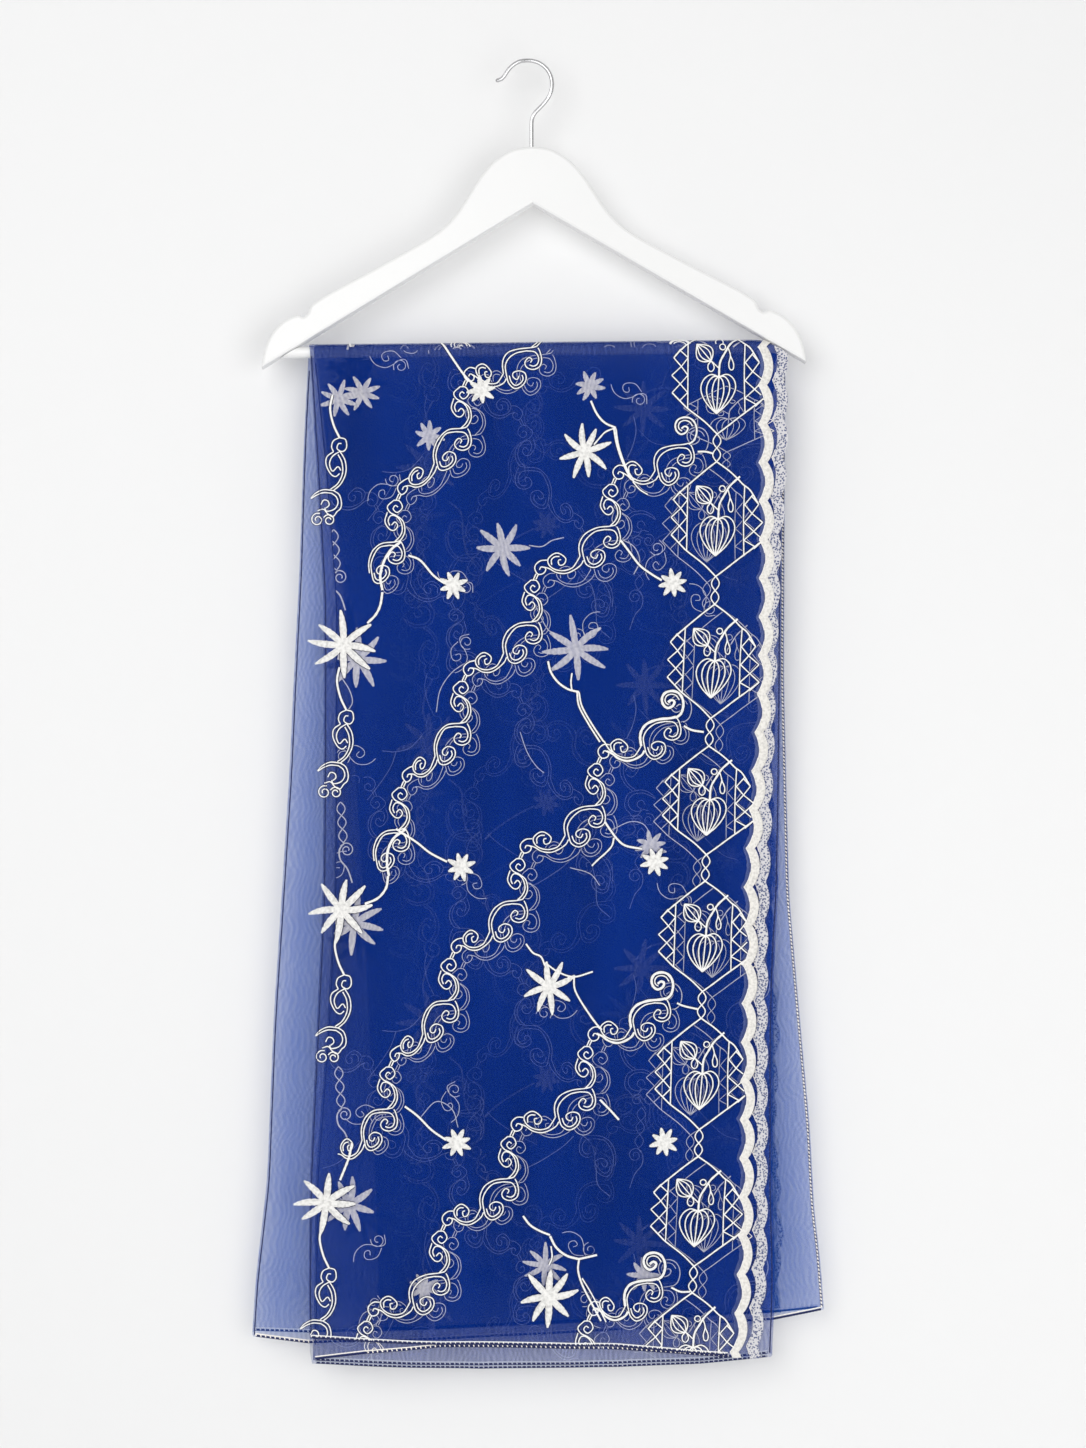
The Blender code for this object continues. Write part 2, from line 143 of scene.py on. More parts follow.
# layer: (left line, right line, hem) on the front drop and on the back drop
FRONT = {
    1: (left_1, lambda z: edge_a(z) - TRIM_HALF, hem_table(HEM_1)),
    2: (left_2, lambda z: edge_b(z) - TRIM_HALF, hem_table(HEM_2)),
    3: (left_2, right_f, lambda x: hem_table(HEM_4)(x) + 2.8),
    4: (left_1, right_f, hem_table(HEM_4)),
}
BACK = {
    1: (left_k, lambda z: edge_k(z) - TRIM_HALF, hem_table(HEM_K1)),
    2: (left_k2, lambda z: edge_k(z) - TRIM_HALF + 2.0, hem_table(HEM_K2)),
    3: (left_k2, right_k, hem_table(HEM_K2)),
    4: (left_k, right_k, hem_table(HEM_K4)),
}
RADIUS = {1: 6.65, 2: 6.15, 3: 5.75, 4: 5.35}
FAN_F = {1: 6.3, 2: 3.6, 3: 1.3, 4: 0.9}
FAN_K = {1: 5.3, 2: 3.0, 3: 1.4, 4: 0.9}


def ease(t):
    t = np.clip(t, 0.0, 1.0)
    return t * t * (3 - 2 * t)


def wave_f(x, down):
    size = 2.2 * ease(down / 520.0)
    return size * (0.65 * np.sin(x / 36.0 + 0.5 + down / 900.0)
                   + 0.45 * np.sin(x / 21.0 - 1.1 - down / 500.0))


def wave_k(x, down):
    size = 3.0 * ease(down / 520.0)
    return size * (0.6 * np.sin(x / 44.0 + 2.0 - down / 800.0)
                   + 0.4 * np.sin(x / 25.0 + 0.3 + down / 600.0))


# main creases: x at the top and foot (mm), where it starts and ends
# below the bar, depth (+ ridge, - trough), half width
CREASE_F = [
    # x_top, x_foot, from, to, depth, half width
    (28.0, 36.0, 470.0, 815.0, 0.85, 11.0),
    (52.0, 61.0, 520.0, 815.0, -0.55, 9.0),
    (-84.0, -92.0, 560.0, 815.0, 0.5, 12.0),
    (-128.0, -134.0, 60.0, 420.0, 0.45, 10.0),
    (118.0, 126.0, 330.0, 700.0, -0.45, 10.0),
    (150.0, 140.0, 650.0, 815.0, 0.6, 9.0),
    (-20.0, -8.0, 8.0, 190.0, 0.4, 16.0),
]
CREASE_K = [
    (-120.0, -150.0, 120.0, 800.0, 0.9, 13.0),
    (-30.0, -38.0, 300.0, 800.0, -0.7, 12.0),
    (60.0, 84.0, 200.0, 800.0, 0.9, 14.0),
    (150.0, 176.0, 60.0, 640.0, -0.6, 11.0),
]


def creases(rows, x, down):
    total = 0.0
    for xt, xf, d0, d1, depth, half in rows:
        share = np.clip((down - d0) / (d1 - d0), 0, 1)
        line = xt + (xf - xt) * share
        fade = ease((down - d0) / 90.0) * ease((d1 + 60 - down) / 90.0)
        total = total + depth * fade * np.exp(-((x - line) / half) ** 2)
    return total


def front_y(layer, x, z):
    down = np.maximum(0.0, bar_z(x) - z)
    own = 0.12 * layer * ease(down / 300) * np.sin(x / 17.0 + layer * 2.1 + down / 240.0)
    return (-(RADIUS[layer] + FAN_F[layer] * ease(down / 850.0)) + wave_f(x, down)
            - creases(CREASE_F, x, down) * (1.15 - 0.15 * layer) + own * 0.6)


def back_y(layer, x, z):
    down = np.maximum(0.0, bar_z(x) - z)
    own = 0.12 * layer * ease(down / 300) * np.sin(x / 19.0 + layer * 1.7 - down / 260.0)
    return (RADIUS[layer] + FAN_K[layer] * ease(down / 850.0) + wave_k(x, down)
            + creases(CREASE_K, x, down) * (1.15 - 0.15 * layer) + own * 0.6)


def arc_len(layer):
    return math.pi * RADIUS[layer]


def surface(layer, x, run):
    """Point and outward normal of a layer at x and run: distance along the cloth,
    0 where it leaves the bar on the front, positive down the front drop, and
    negative over the bar and down the back."""
    x = np.asarray(x, float)
    run = np.asarray(run, float)
    zc = bar_z(x)
    r = RADIUS[layer]
    a = np.clip(-run / r, 0.0, math.pi)
    on_arc_y = -r * np.cos(a)
    on_arc_z = np.minimum(zc + r * np.sin(a), under_z(x) - 0.9)
    z_f = np.minimum(zc - np.maximum(run, 0.0), under_z(x) - 0.9)
    z_k = np.minimum(zc + np.minimum(run + arc_len(layer), 0.0), under_z(x) - 0.9)
    front = run >= 0
    back = run <= -arc_len(layer)
    y = np.where(front, front_y(layer, x, z_f), np.where(back, back_y(layer, x, z_k), on_arc_y))
    z = np.where(front, z_f, np.where(back, z_k, on_arc_z))
    ny = np.where(front, -1.0, np.where(back, 1.0, -np.cos(a)))
    nz = np.where(front | back, 0.0, np.sin(a))
    return np.stack([x, y, z], -1), np.stack([np.zeros_like(x), ny, nz], -1)


# ------------------------------------------------------------- mesh helpers
def mesh_object(name, verts, faces, mat, smooth=True, uvs=None):
    me = bpy.data.meshes.new(name)
    verts = np.asarray(verts, dtype=np.float32) * MM
    me.from_pydata(verts.tolist(), [], faces)
    if smooth:
        me.polygons.foreach_set("use_smooth", [True] * len(me.polygons))
    if uvs is not None:
        layer = me.uv_layers.new(name="UVMap")
        loops = np.empty(len(me.loops), dtype=np.int32)
        me.loops.foreach_get("vertex_index", loops)
        layer.data.foreach_set("uv", np.asarray(uvs, dtype=np.float32)[loops].ravel())
    me.update()
    for m in (mat if isinstance(mat, (list, tuple)) else [mat]):
        me.materials.append(m)
    obj = bpy.data.objects.new(name, me)
    bpy.context.scene.collection.objects.link(obj)
    return obj


def smooth_path(points, step):
    """Even points about `step` apart along a Catmull-Rom curve."""
    p = np.asarray(points, float)
    if len(p) < 2:
        return p
    ext = np.vstack([2 * p[0] - p[1], p, 2 * p[-1] - p[-2]])
    out = []
    for i in range(1, len(ext) - 2):
        p0, p1, p2, p3 = ext[i - 1], ext[i], ext[i + 1], ext[i + 2]
        n = max(2, int(np.hypot(*(p2 - p1)) / (step * 0.5)))
        t = np.linspace(0, 1, n, endpoint=False)[:, None]
        out.append(0.5 * (2 * p1 + (p2 - p0) * t + (2 * p0 - 5 * p1 + 4 * p2 - p3) * t * t
                          + (3 * p1 - p0 - 3 * p2 + p3) * t ** 3))
    out.append(p[-1:])
    q = np.vstack(out)
    d = np.concatenate([[0], np.cumsum(np.hypot(*np.diff(q, axis=0).T))])
    n = max(2, int(round(d[-1] / step)) + 1)
    s = np.linspace(0, d[-1], n)
    return np.stack([np.interp(s, d, q[:, 0]), np.interp(s, d, q[:, 1])], -1)


class Work:
    """Embroidery of one layer: strokes and petals gathered in (x, run)."""

    def __init__(self, layer, lift, raised, step, inside=None):
        self.layer, self.lift, self.raised, self.step = layer, lift, raised, step
        self.verts, self.faces, self.count = [], [], 0
        self.inside = inside
        self.thin = 1.0
        # dark bands beside cords and petals go to a second Work: painted shadow of the raised thread, partly
        # puckering of the cloth
        self.pucker_shadow = None
        self.whole = False
        self.slots, self.slot = [], 0

    def keep(self, pts):
        if self.inside is None:
            return [pts]
        ok = self.inside(pts[:, 0], pts[:, 1])
        if self.whole and not ok.all():
            return []
        runs, start = [], None
        for i, flag in enumerate(ok):
            if flag and start is None:
                start = i
            if (not flag or i == len(ok) - 1) and start is not None:
                end = i + 1 if flag else i
                if end - start >= 2:
                    runs.append(pts[start:end])
                start = None
        return runs

    def add(self, flat, height, faces):
        pos, nrm = surface(self.layer, flat[:, 0], flat[:, 1])
        side = -1.0 if self.lift < 0 else 1.0
        pos = pos + nrm * (self.lift + side * np.asarray(height))[:, None]
        self.verts.append(pos)
        self.faces.extend((np.asarray(faces) + self.count).tolist())
        self.slots += [self.slot] * len(faces)
        self.count += len(pos)

    def cord(self, points, width, step=None, taper=0.0, curve=True):
        step = step or self.step
        pts = smooth_path(points, step) if curve else np.asarray(points, float)
        for run in self.keep(pts):
            n = len(run)
            d = np.gradient(run, axis=0)
            d /= np.maximum(np.hypot(d[:, 0], d[:, 1])[:, None], 1e-9)
            side = np.stack([-d[:, 1], d[:, 0]], -1)
            w = np.full(n, width / 2)
            if taper > 0:
                t = np.linspace(0, 1, n)
                w = w * (1 - taper * np.clip((t - 0.55) / 0.45, 0, 1))
            wob = 1 + 0.10 * np.sin(np.arange(n) * 1.9 + run[:, 0])
            w = w * wob * self.thin
            # dark band beside the cord: painted shadow of the raised cord, partly puckering
            if self.pucker_shadow is not None:
                self.pucker_shadow.band(run, side, w + 0.58)
            left = run + side * w[:, None]
            right = run - side * w[:, None]
            if self.raised:
                flat = np.concatenate([left, run, right])
                height = np.concatenate([np.zeros(n), w * 0.85, np.zeros(n)])
                i = np.arange(n - 1)
                faces = np.concatenate([
                    np.stack([i, i + 1, n + i + 1, n + i], -1),
                    np.stack([n + i, n + i + 1, 2 * n + i + 1, 2 * n + i], -1)])
            else:
                flat = np.concatenate([left, right])
                height = np.zeros(2 * n)
                i = np.arange(n - 1)
                faces = np.stack([i, i + 1, n + i + 1, n + i], -1)
            self.add(flat, height, faces)

    def band(self, run, side, half):
        n = len(run)
        flat = np.concatenate([run + side * half[:, None], run, run - side * half[:, None]])
        i = np.arange(n - 1)
        faces = np.concatenate([np.stack([k * n + i, k * n + i + 1, (k + 1) * n + i + 1,
                                          (k + 1) * n + i], -1) for k in range(2)])
        self.add(flat, np.zeros(3 * n), faces)

    def petal(self, base, angle, length, width, bend=0.0, tip=0.35):
        """Satin petal from `base`, domed, leaning by `bend`."""
        n = 14
        t = np.linspace(0, 1, n)
        along = t * length
        off = bend * length * t ** 2
        half = width / 2 * (np.sin(np.pi * np.clip(t * 0.86 + 0.12, 0, 1)) ** 0.55)
        half = np.maximum(half * (1 - 0.15 * t), width * 0.10)
        half = half * (1 + 0.09 * np.sin(np.arange(n) * 2.6 + base[0]) * (0.3 + t))
        half[-1] = width * tip * 0.35
        c, s = math.cos(angle), math.sin(angle)
        mid = np.stack([base[0] + along * c - off * s, base[1] + along * s + off * c], -1)
        d = np.gradient(mid, axis=0)
        d /= np.hypot(d[:, 0], d[:, 1])[:, None]
        side = np.stack([-d[:, 1], d[:, 0]], -1)
        # dark band beside the petal: painted shadow of the raised satin, partly puckering
        if self.pucker_shadow is not None and free_inside(mid[:, 0], mid[:, 1]).all():
            self.pucker_shadow.band(mid, side, half + 0.55)
        rows = [mid + side * (half * k)[:, None] for k in (-1, -0.55, 0, 0.55, 1)]
        high = [0, 1.0, 0.72, 1.0, 0]
        if self.inside is not None and not np.all(self.inside(mid[:, 0], mid[:, 1])):
            ok = self.inside(mid[:, 0], mid[:, 1])
            if ok.sum() < 3 or not ok[0]:
                return
            last = int(np.argmin(ok)) if not ok.all() else n
            rows = [r[:last] for r in rows]
            half = half[:last]
            n = last
        flat = np.concatenate(rows)
        lift = 0.42 if self.raised else 0.05
        height = np.concatenate([half * h * lift for h in high])
        i = np.arange(n - 1)
        faces = np.concatenate([np.stack([k * n + i, k * n + i + 1, (k + 1) * n + i + 1,
                                          (k + 1) * n + i], -1) for k in range(4)])
        self.add(flat, height, faces)

    def disc(self, centre, radius, high=0.5):
        k = 12
        a = np.linspace(0, 2 * np.pi, k, endpoint=False)
        c = np.asarray(centre, float)
        if self.inside is not None and not bool(self.inside(c[0:1], c[1:2])[0]):
            return
        ring1 = c + radius * np.stack([np.cos(a), np.sin(a)], -1)
        ring2 = c + radius * 0.55 * np.stack([np.cos(a), np.sin(a)], -1)
        flat = np.concatenate([ring1, ring2, c[None]])
        lift = 1.0 if self.raised else 0.1
        height = np.concatenate([np.zeros(k), np.full(k, high * 0.8), [high]]) * lift
        faces = [(i, (i + 1) % k, k + (i + 1) % k, k + i) for i in range(k)]
        tri = [(k + i, k + (i + 1) % k, 2 * k, 2 * k) for i in range(k)]
        pos, nrm = surface(self.layer, flat[:, 0], flat[:, 1])
        side = -1.0 if self.lift < 0 else 1.0
        pos = pos + nrm * (self.lift + side * height)[:, None]
        self.verts.append(pos)
        self.faces.extend([[v + self.count for v in f] for f in faces])
        self.faces.extend([[v + self.count for v in f[:3]] for f in tri])
        self.slots += [self.slot] * (len(faces) + len(tri))
        self.count += len(pos)

    def build(self, name, mat):
        obj = mesh_object(name, np.concatenate(self.verts), self.faces, mat)
        if isinstance(mat, (list, tuple)) and len(mat) > 1:
            obj.data.polygons.foreach_set("material_index", self.slots)
        return obj


# ---------------------------------------------------------- motif functions
# All offsets in design steps: right, down.
FINE, CORD, STEM, SATIN = 1.05, 1.22, 1.8, 2.5       # thread line widths, steps

RIGHT_CURL = [(0, 1), (2, 5), (3.6, 12.5), (1.8, 19.4), (-4.5, 22.5), (-11, 20.6),
              (-13.2, 15.6), (-9.5, 10.6), (-6, 12.5), (-7.6, 15.6)]
RIGHT_CURL_IN = [(-12, 3.8), (-3.2, 5), (0.6, 11), (-0.6, 17), (-4.5, 19.2), (-8.6, 18)]
BRANCH_TOP = [(-1.4, -0.6), (-7, 0.6), (-19.5, 1.9), (-29.5, 7.5), (-34.5, 15),
              (-36, 22.5), (-35, 31)]
BRANCH_IN = [(-12, 3.8), (-22, 6), (-29.5, 13.8), (-33, 22.5), (-32, 31)]
LOW_CURL = [(-32, 31), (-29.5, 38.8), (-23.2, 41.9), (-16, 38.8), (-12, 32.5),
            (-13.2, 26), (-19.5, 23.8), (-25, 26.9), (-25, 31), (-21, 32.5), (-19, 28.8)]
LOW_CURL_IN = [(-29, 31), (-27, 36.4), (-22.8, 38.6), (-17.8, 36.3), (-15, 32), (-16, 28)]
ARM_TOP = [(-35, 31), (-38.2, 37.5), (-42, 43), (-49.5, 46), (-57, 45), (-62, 41),
           (-63, 35), (-58, 29.5), (-53, 29), (-47.5, 33.8), (-49, 39.4), (-53, 40.6),
           (-54, 36), (-51.5, 35)]
ARM_LOW = [(-32, 35), (-34.5, 40), (-41, 45.6), (-48.2, 48.8), (-56, 48), (-62, 44.4),
           (-67, 43)]
ARM_CURL_IN = [(-59.8, 40.6), (-60, 35.5), (-57, 32.4), (-53, 32)]
SMALL_CURL = [(-64, 36), (-69.5, 36.9), (-74.5, 41), (-75, 46), (-71.4, 50.6),
              (-66.4, 48.8), (-65, 44.4), (-69, 43), (-70.5, 46)]
LINK_A = [(-71.6, 50.4), (-74, 55.4)]
LINK_B = [(-74, 49.8), (-76.6, 55.6)]
PAIR_OUT = [(-7.6, -41.3), (-14, -35), (-11, -29), (-4.5, -25.6), (1.8, -20),
            (3.6, -11.2), (1.8, -5), (-1.4, -0.6)]
PAIR_CURL = [(-7.6, -41.3), (-2, -40.6), (1, -34), (-4, -29), (-8.2, -32.5),
             (-6, -36.2), (-3.4, -34.4)]
PAIR_LOW = [(-14, -29.5), (-16.4, -20), (-12, -12.5), (-7, -11.2), (-3.6, -15.6),
            (-6.4, -19.6), (-9.8, -16.4)]
PAIR_IN = [(-11.6, -16), (-13.2, -21), (-10.5, -26), (-5, -25), (-0.6, -19.6),
           (1, -11.6), (-1.6, -5), (-7, 0.6)]
HOOK = [(-2, 0.5), (3.5, -3.7), (6.0, -11.5), (5.2, -18.7), (1.3, -24.4), (-5, -26.6),
        (-12, -24.8), (-15.3, -19.6), (-14.3, -13.4), (-9.8, -9.6), (-4.6, -11.6),
        (-2.8, -15.8), (-6.0, -17.6), (-9.2, -15.2)]
HOOK_IN = [(2.0, -17.5), (-1.0, -21.8), (-5.6, -23.4), (-10.2, -22), (-12.2, -18.4),
           (-11.4, -14.8), (-8.6, -12.9)]
UNIT = (-71.5, 97.5)


def place(points, at, scale=1.0, mirror=1.0, turn=0.0):
    """Design offsets to (x, run) millimetres about `at`."""
    c, s = math.cos(turn), math.sin(turn)
    return [(at[0] + mirror * STEP * scale * (dx * c - dy * s),
             at[1] + STEP * scale * (dx * s + dy * c)) for dx, dy in points]


def chain_unit(w, at, nxt, mirror=1.0, first=False, last=False, thick=False, flip=1.0):
    """One scroll of the chain: its joint at `at`, the next at `nxt` (mm)."""
    vec = ((nxt[0] - at[0]) * mirror / STEP, (nxt[1] - at[1]) * flip / STEP)
    gx, gy = vec[0] - UNIT[0], vec[1] - UNIT[1]

    def lay(points, late=True):
        out = []
        for dx, dy in points:
            f = min(1.0, max(0.0, (-dx - 22) / 48.0)) if late else 0.0
            out.append((at[0] + mirror * STEP * (dx + gx * f),
                        at[1] + flip * STEP * (dy + gy * f)))
        return out

    if first:
        w.cord(lay(HOOK, False), SATIN * STEP if thick else STEM * STEP)
        w.cord(lay(HOOK_IN, False), CORD * STEP)
    else:
        w.cord(lay(PAIR_OUT, False), CORD * STEP)
        w.cord(lay(PAIR_CURL, False), CORD * STEP)
        w.cord(lay(PAIR_LOW, False), CORD * STEP)
        w.cord(lay(PAIR_IN, False), CORD * STEP)
    w.cord(lay(RIGHT_CURL, False), CORD * STEP)
    w.cord(lay(RIGHT_CURL_IN, False), CORD * STEP)
    w.cord(lay(BRANCH_TOP), (SATIN if thick else CORD) * STEP)
    w.cord(lay(BRANCH_IN), CORD * STEP)
    w.cord(lay(LOW_CURL), CORD * STEP)
    w.cord(lay(LOW_CURL_IN), CORD * STEP)
    if last is True:
        return
    w.cord(lay(ARM_TOP), CORD * STEP)
    w.cord(lay(ARM_LOW), (SATIN * 0.85 if thick else CORD) * STEP)
    w.cord(lay(ARM_CURL_IN), CORD * STEP)
    if last:
        return
    w.cord(lay(SMALL_CURL), CORD * STEP)
    w.cord(lay(LINK_A), CORD * STEP)
    w.cord(lay(LINK_B), CORD * STEP)


def star(w, at, reach, petals=8, width=6.2, turn=0.0, bend=0.06, core=4.6, uneven=0.06):
    """Satin star flower; sizes in steps."""
    w.slot = 1
    for k in range(petals):
        a = turn + 2 * math.pi * k / petals
        grow = 1 + uneven * math.sin(k * 2.3 + at[0])
        w.petal((at[0] + math.cos(a) * core * 0.35 * STEP,
                 at[1] + math.sin(a) * core * 0.35 * STEP), a,
                (reach * grow - core * 0.35) * STEP, width * STEP,
                bend * (1.5 * math.sin(k * 1.7 + at[1] * 0.1) + 0.7 * math.sin(at[0])))
    w.disc(at, core * STEP, 0.75)
    w.slot = 0


def spiral(centre, r0, r1, a0, turns, n=14):
    """Points in steps about the centre."""
    t = np.linspace(0, 1, n)
    a = a0 + turns * 2 * math.pi * t
    r = r0 + (r1 - r0) * t
    return [(centre[0] + rr * math.cos(aa), centre[1] + rr * math.sin(aa)) for rr, aa in zip(r, a)]


HEART_SIDE = [(0, 0), (8, -2.4), (14.6, 2.0), (17.4, 10.0), (15.2, 19.0), (9.0, 28.4), (0, 37)]
HEART_MID = [0, 4, 9, 15, 21.5, 29.5, 37]


def heart(w, at, lean, ribs=7, flip=1.0, mirror=1.0):
    """Ribbed heart hanging from `at`; sizes in steps."""
    for i in range(ribs):
        b = -1 + 2 * i / (ribs - 1)
        pts = []
        for (sx, sy), my in zip(HEART_SIDE, HEART_MID):
            f = abs(b)
            y = sy * f + my * (1 - f)
            x = b * sx + lean * y / 37.0
            pts.append((at[0] + mirror * STEP * x, at[1] + flip * STEP * y))
        w.cord(pts, CORD * STEP * 1.05)


def bud(w, at, flip=1.0, mirror=1.0):
    """Ribbed bud pointing up and aside."""
    base, tip = (5.5, 7.5), (-8.5, -9.5)
    ax, ay = tip[0] - base[0], tip[1] - base[1]
    n = math.hypot(ax, ay)
    px, py = -ay / n, ax / n
    for b in (-1, -0.55, 0, 0.55, 1):
        pts = []
        for t in np.linspace(0, 1, 9):
            swell = math.sin(math.pi * t ** 0.85) * 8.8 * b
            pts.append((at[0] + mirror * STEP * (base[0] + ax * t + px * swell),
                        at[1] + flip * STEP * (base[1] + ay * t + py * swell)))
        w.cord(pts, CORD * STEP)


def oval(w, a, b, half, width=CORD):
    """Two crossing bowed lines from a to b (mm)."""
    a, b = np.asarray(a, float), np.asarray(b, float)
    d = b - a
    side = np.array([-d[1], d[0]]) / np.hypot(*d)
    t = np.linspace(0, 1, 7)[:, None]
    for k in (-1, 1):
        w.cord(a + d * t + side * k * half * STEP * np.sin(np.pi * t), width * STEP)


LATTICE_L = [(-44.4, 37.4), (-47.2, 55.0), (-47.6, 72.4)]
LATTICE_R = [(41.0, 43.0), (44.4, 61.0), (44.6, 78.6)]


def cartouche(w, top, foot, mirror=1.0, flip=1.0, part=1.0):
    """Lattice cartouche with heart and bud between crossings `top` and `foot`
    (mm), with the two link ovals above `foot`."""
    stretch = abs(foot[1] - top[1]) / (142.0 * STEP)
    shear = (foot[0] - top[0]) * mirror / (142.0 * STEP)

    def at(dx, dy):
        return (top[0] + mirror * STEP * (dx + (shear + 0.042) * dy),
                top[1] + flip * STEP * dy * stretch)

    def line(points, width=CORD, curve=True):
        pts = [at(*p) for p in points]
        if not curve:
            dense = []
            for p, q in zip(pts, pts[1:]):
                n = max(2, int(math.hypot(q[0] - p[0], q[1] - p[1]) / 3.0))
                dense += [(p[0] + (q[0] - p[0]) * k / n, p[1] + (q[1] - p[1]) * k / n)
                          for k in range(n)]
            dense.append(pts[-1])
            w.cord(dense, width * STEP, curve=False)
        else:
            w.cord(pts, width * STEP)

    line([(0, 0), (-12, 9), (-28, 22), (-38.5, 31), (-44.4, 37.4)], STEM * 0.85)
    line([(0, 0), (12, 9), (20, 16.5), (26, 23.0), (33, 29), (41, 43)], STEM * 0.85)
    line([(-47.6, 72.4), (-37, 84), (-32, 89), (-16, 102), (-4.2, 114.3)], STEM * 0.85)
    line([(44.6, 78.6), (32, 88), (18, 98), (6, 107), (-4.2, 114.3)], STEM * 0.85)
    line([(-29.5, 24), (-31, 55), (-32.6, 88)])
    line([(27.5, 24.5), (25.5, 55), (24.6, 92.5)])
    for rows, inner, up, low in ((LATTICE_L, (-30, -32), (-37.6, 30.2), (-40.4, 80.6)),
                                 (LATTICE_R, (27, 25), (35.4, 33.4), (36.0, 85.0))):
        tips = [p for p in rows]
        ys = [p[1] for p in tips]
        inn = [(inner[0] + (inner[1] - inner[0]) * k / 2, y) for k, y in enumerate(ys)]
        mids = [((tips[k][0] + inn[k][0]) / 2, (ys[k] + ys[k + 1]) / 2) for k in range(2)]
        line([up, inn[0]], CORD, False)
        for k in range(2):
            line([tips[k], mids[k], inn[k + 1]], CORD, False)
            line([inn[k], mids[k], tips[k + 1]], CORD, False)
        line([inn[2], low], CORD, False)
        line([tips[2], ((tips[2][0] + inn[2][0]) / 2, ys[2] + 8.6)], CORD, False)
        line([tips[0], ((tips[0][0] + inn[0][0]) / 2, ys[0] - 8.6)], CORD, False)
    # heart, stem, bud, loops
    heart(w, at(0, 57), -2.5 + shear * 36, flip=flip * stretch, mirror=mirror)
    line([(23, 15), (13, 24), (7, 33), (1.6, 43), (0, 57)], STEM * 1.1)
    bud(w, at(-12.5, 33.5), flip=flip, mirror=mirror)
    line([(-7, 41), (-10.4, 45), (-10.2, 50), (-7, 51.6), (-4.4, 48), (-5.4, 43.6), (-7, 41),
          (-3, 45), (0, 48)])
    line(spiral((5, 27), 3.0, 3.0, 0.3, 1.0, 9))
    line([(10.5, 28), (12.4, 36), (10.4, 44), (11.4, 49.6), (14.4, 49.6), (15.2, 44), (12.4, 36)])
    # link ovals
    oval(w, at(-4.2, 114.3), at(-5.2, 128.3), 3.9)
    oval(w, at(-5.2, 128.3), at(-6.0, 142.0), 3.9)


# --------------------------------------------------- layout of the front face
# Joints of the scroll chains on the front drop: x, z (mm)
CHAIN_A = [(68.3, -177.2), (8.2, -233.2), (-49.0, -299.0), (-103.0, -391.5)]
CHAIN_B = [(132.4, -312.0), (72.3, -378.6), (8.6, -456.5), (-49.4, -538.9), (-99.0, -625.3)]
CHAIN_C = [(121.4, -534.8), (60.1, -605.9), (-3.2, -683.0), (-59.2, -764.2), (-108.7, -851.8)]
CHAIN_D = [(112.9, -763.3), (52.0, -835.6), (-10.5, -908.7), (-66.5, -985.0), (-126.6, -1058.0)]
CHAIN_E = [(106.4, -990.6), (52.0, -1058.0)]
SMALL_STARS = [(-38.1, -268.1), (-60.8, -427.3), (117.8, -425.6), (-54.3, -656.2), (103.2, -652.1), (-57.6, -880.2),
               (110.5, -879.4)]
LARGE_STARS = [  # place, reach (steps), turn
    ((-150.1, -476.0), 34.0, -1.55), ((-151.7, -691.1), 32.0, -1.50), ((-163.9, -929.0), 31.0, -1.45),
    ((46.3, -318.5), 27.0, -1.85), ((17.1, -753.6), 27.0, -1.75), ((17.1, -1005.3), 29.0, -1.58),
]
BORDER = [(153.5, -260.0), (153.5, -326.6), (151.9, -442.7), (147.0, -558.0), (143.8, -667.6), (140.5, -778.8),
          (138.1, -890.8), (133.2, -1001.2), (130.0, -1111.6)]
GHOST_STARS = [  # second layer: place, reach (steps), turn
    ((-21.0, -397.2), 27.0, -1.62), ((39.0, -479.2), 33.0, -1.70), ((-138.7, -487.3), 30.0, 0.12),
    ((-141.2, -702.5), 30.0, 0.15), ((-145.2, -930.6), 27.0, 0.3), ((13.9, -980.1), 22.0, -1.5),
    ((-80.3, -305.5), 15.0, 0.1), ((50.4, -264.9), 15.0, -0.5), ((99.9, -639.1), 15.5, -0.2),
    ((94.2, -988.2), 17.0, 0.0), ((-84.4, -998.0), 15.0, 0.3), ((-154.2, -275.5), 19.0, 1.1),
    ((-134.7, -270.6), 18.0, 0.4),
]
GHOST_STEMS = [
    (1.9, [(-152.5, -501.1), (-145.2, -512.5), (-142.8, -522.2), (-146.1, -528.7)]),
    (2.0, [(0.9, -394.8), (11.4, -395.6), (19.6, -390.7), (29.3, -388.3)]),
    (1.8, [(5.8, -443.5), (15.5, -462.2), (22.8, -467.0), (35.8, -476.8)]),
    (1.8, [(74.8, -389.1), (86.1, -395.6), (91.0, -407.0), (86.1, -418.3)]),
    (1.6, [(68.3, -626.2), (82.9, -619.7), (93.4, -621.3), (99.1, -628.6)]),
    (1.5, [(-47.0, -488.1), (-61.6, -497.9), (-71.4, -512.5), (-74.6, -530.4)]),
    (1.5, [(-6.4, -546.6), (-0.7, -562.8), (6.6, -574.2), (13.1, -579.9)]),
    (1.6, [(34.2, -657.0), (50.4, -661.9), (58.5, -671.6)]),
    (1.6, [(-87.6, -859.9), (-74.6, -847.0), (-61.6, -853.5), (-56.8, -868.1)]),
]
GHOST_CURLS = [(-131.4, -358.3), (-74.6, -416.7), (58.5, -447.6), (-123.3, -569.3), (-58.4, -499.5), (-147.7, -642.4),
               (-149.3, -861.6), (-34.0, -683.0), (97.5, -423.2), (131.6, -424.8), (104.0, -670.0), (40.7, -773.9),
               (-61.6, -864.8), (-142.8, -976.8), (-136.3, -1035.3), (58.5, -1032.1), (27.7, -952.5),
               (66.6, -264.1), (-79.5, -238.1), (-129.8, -241.4)]
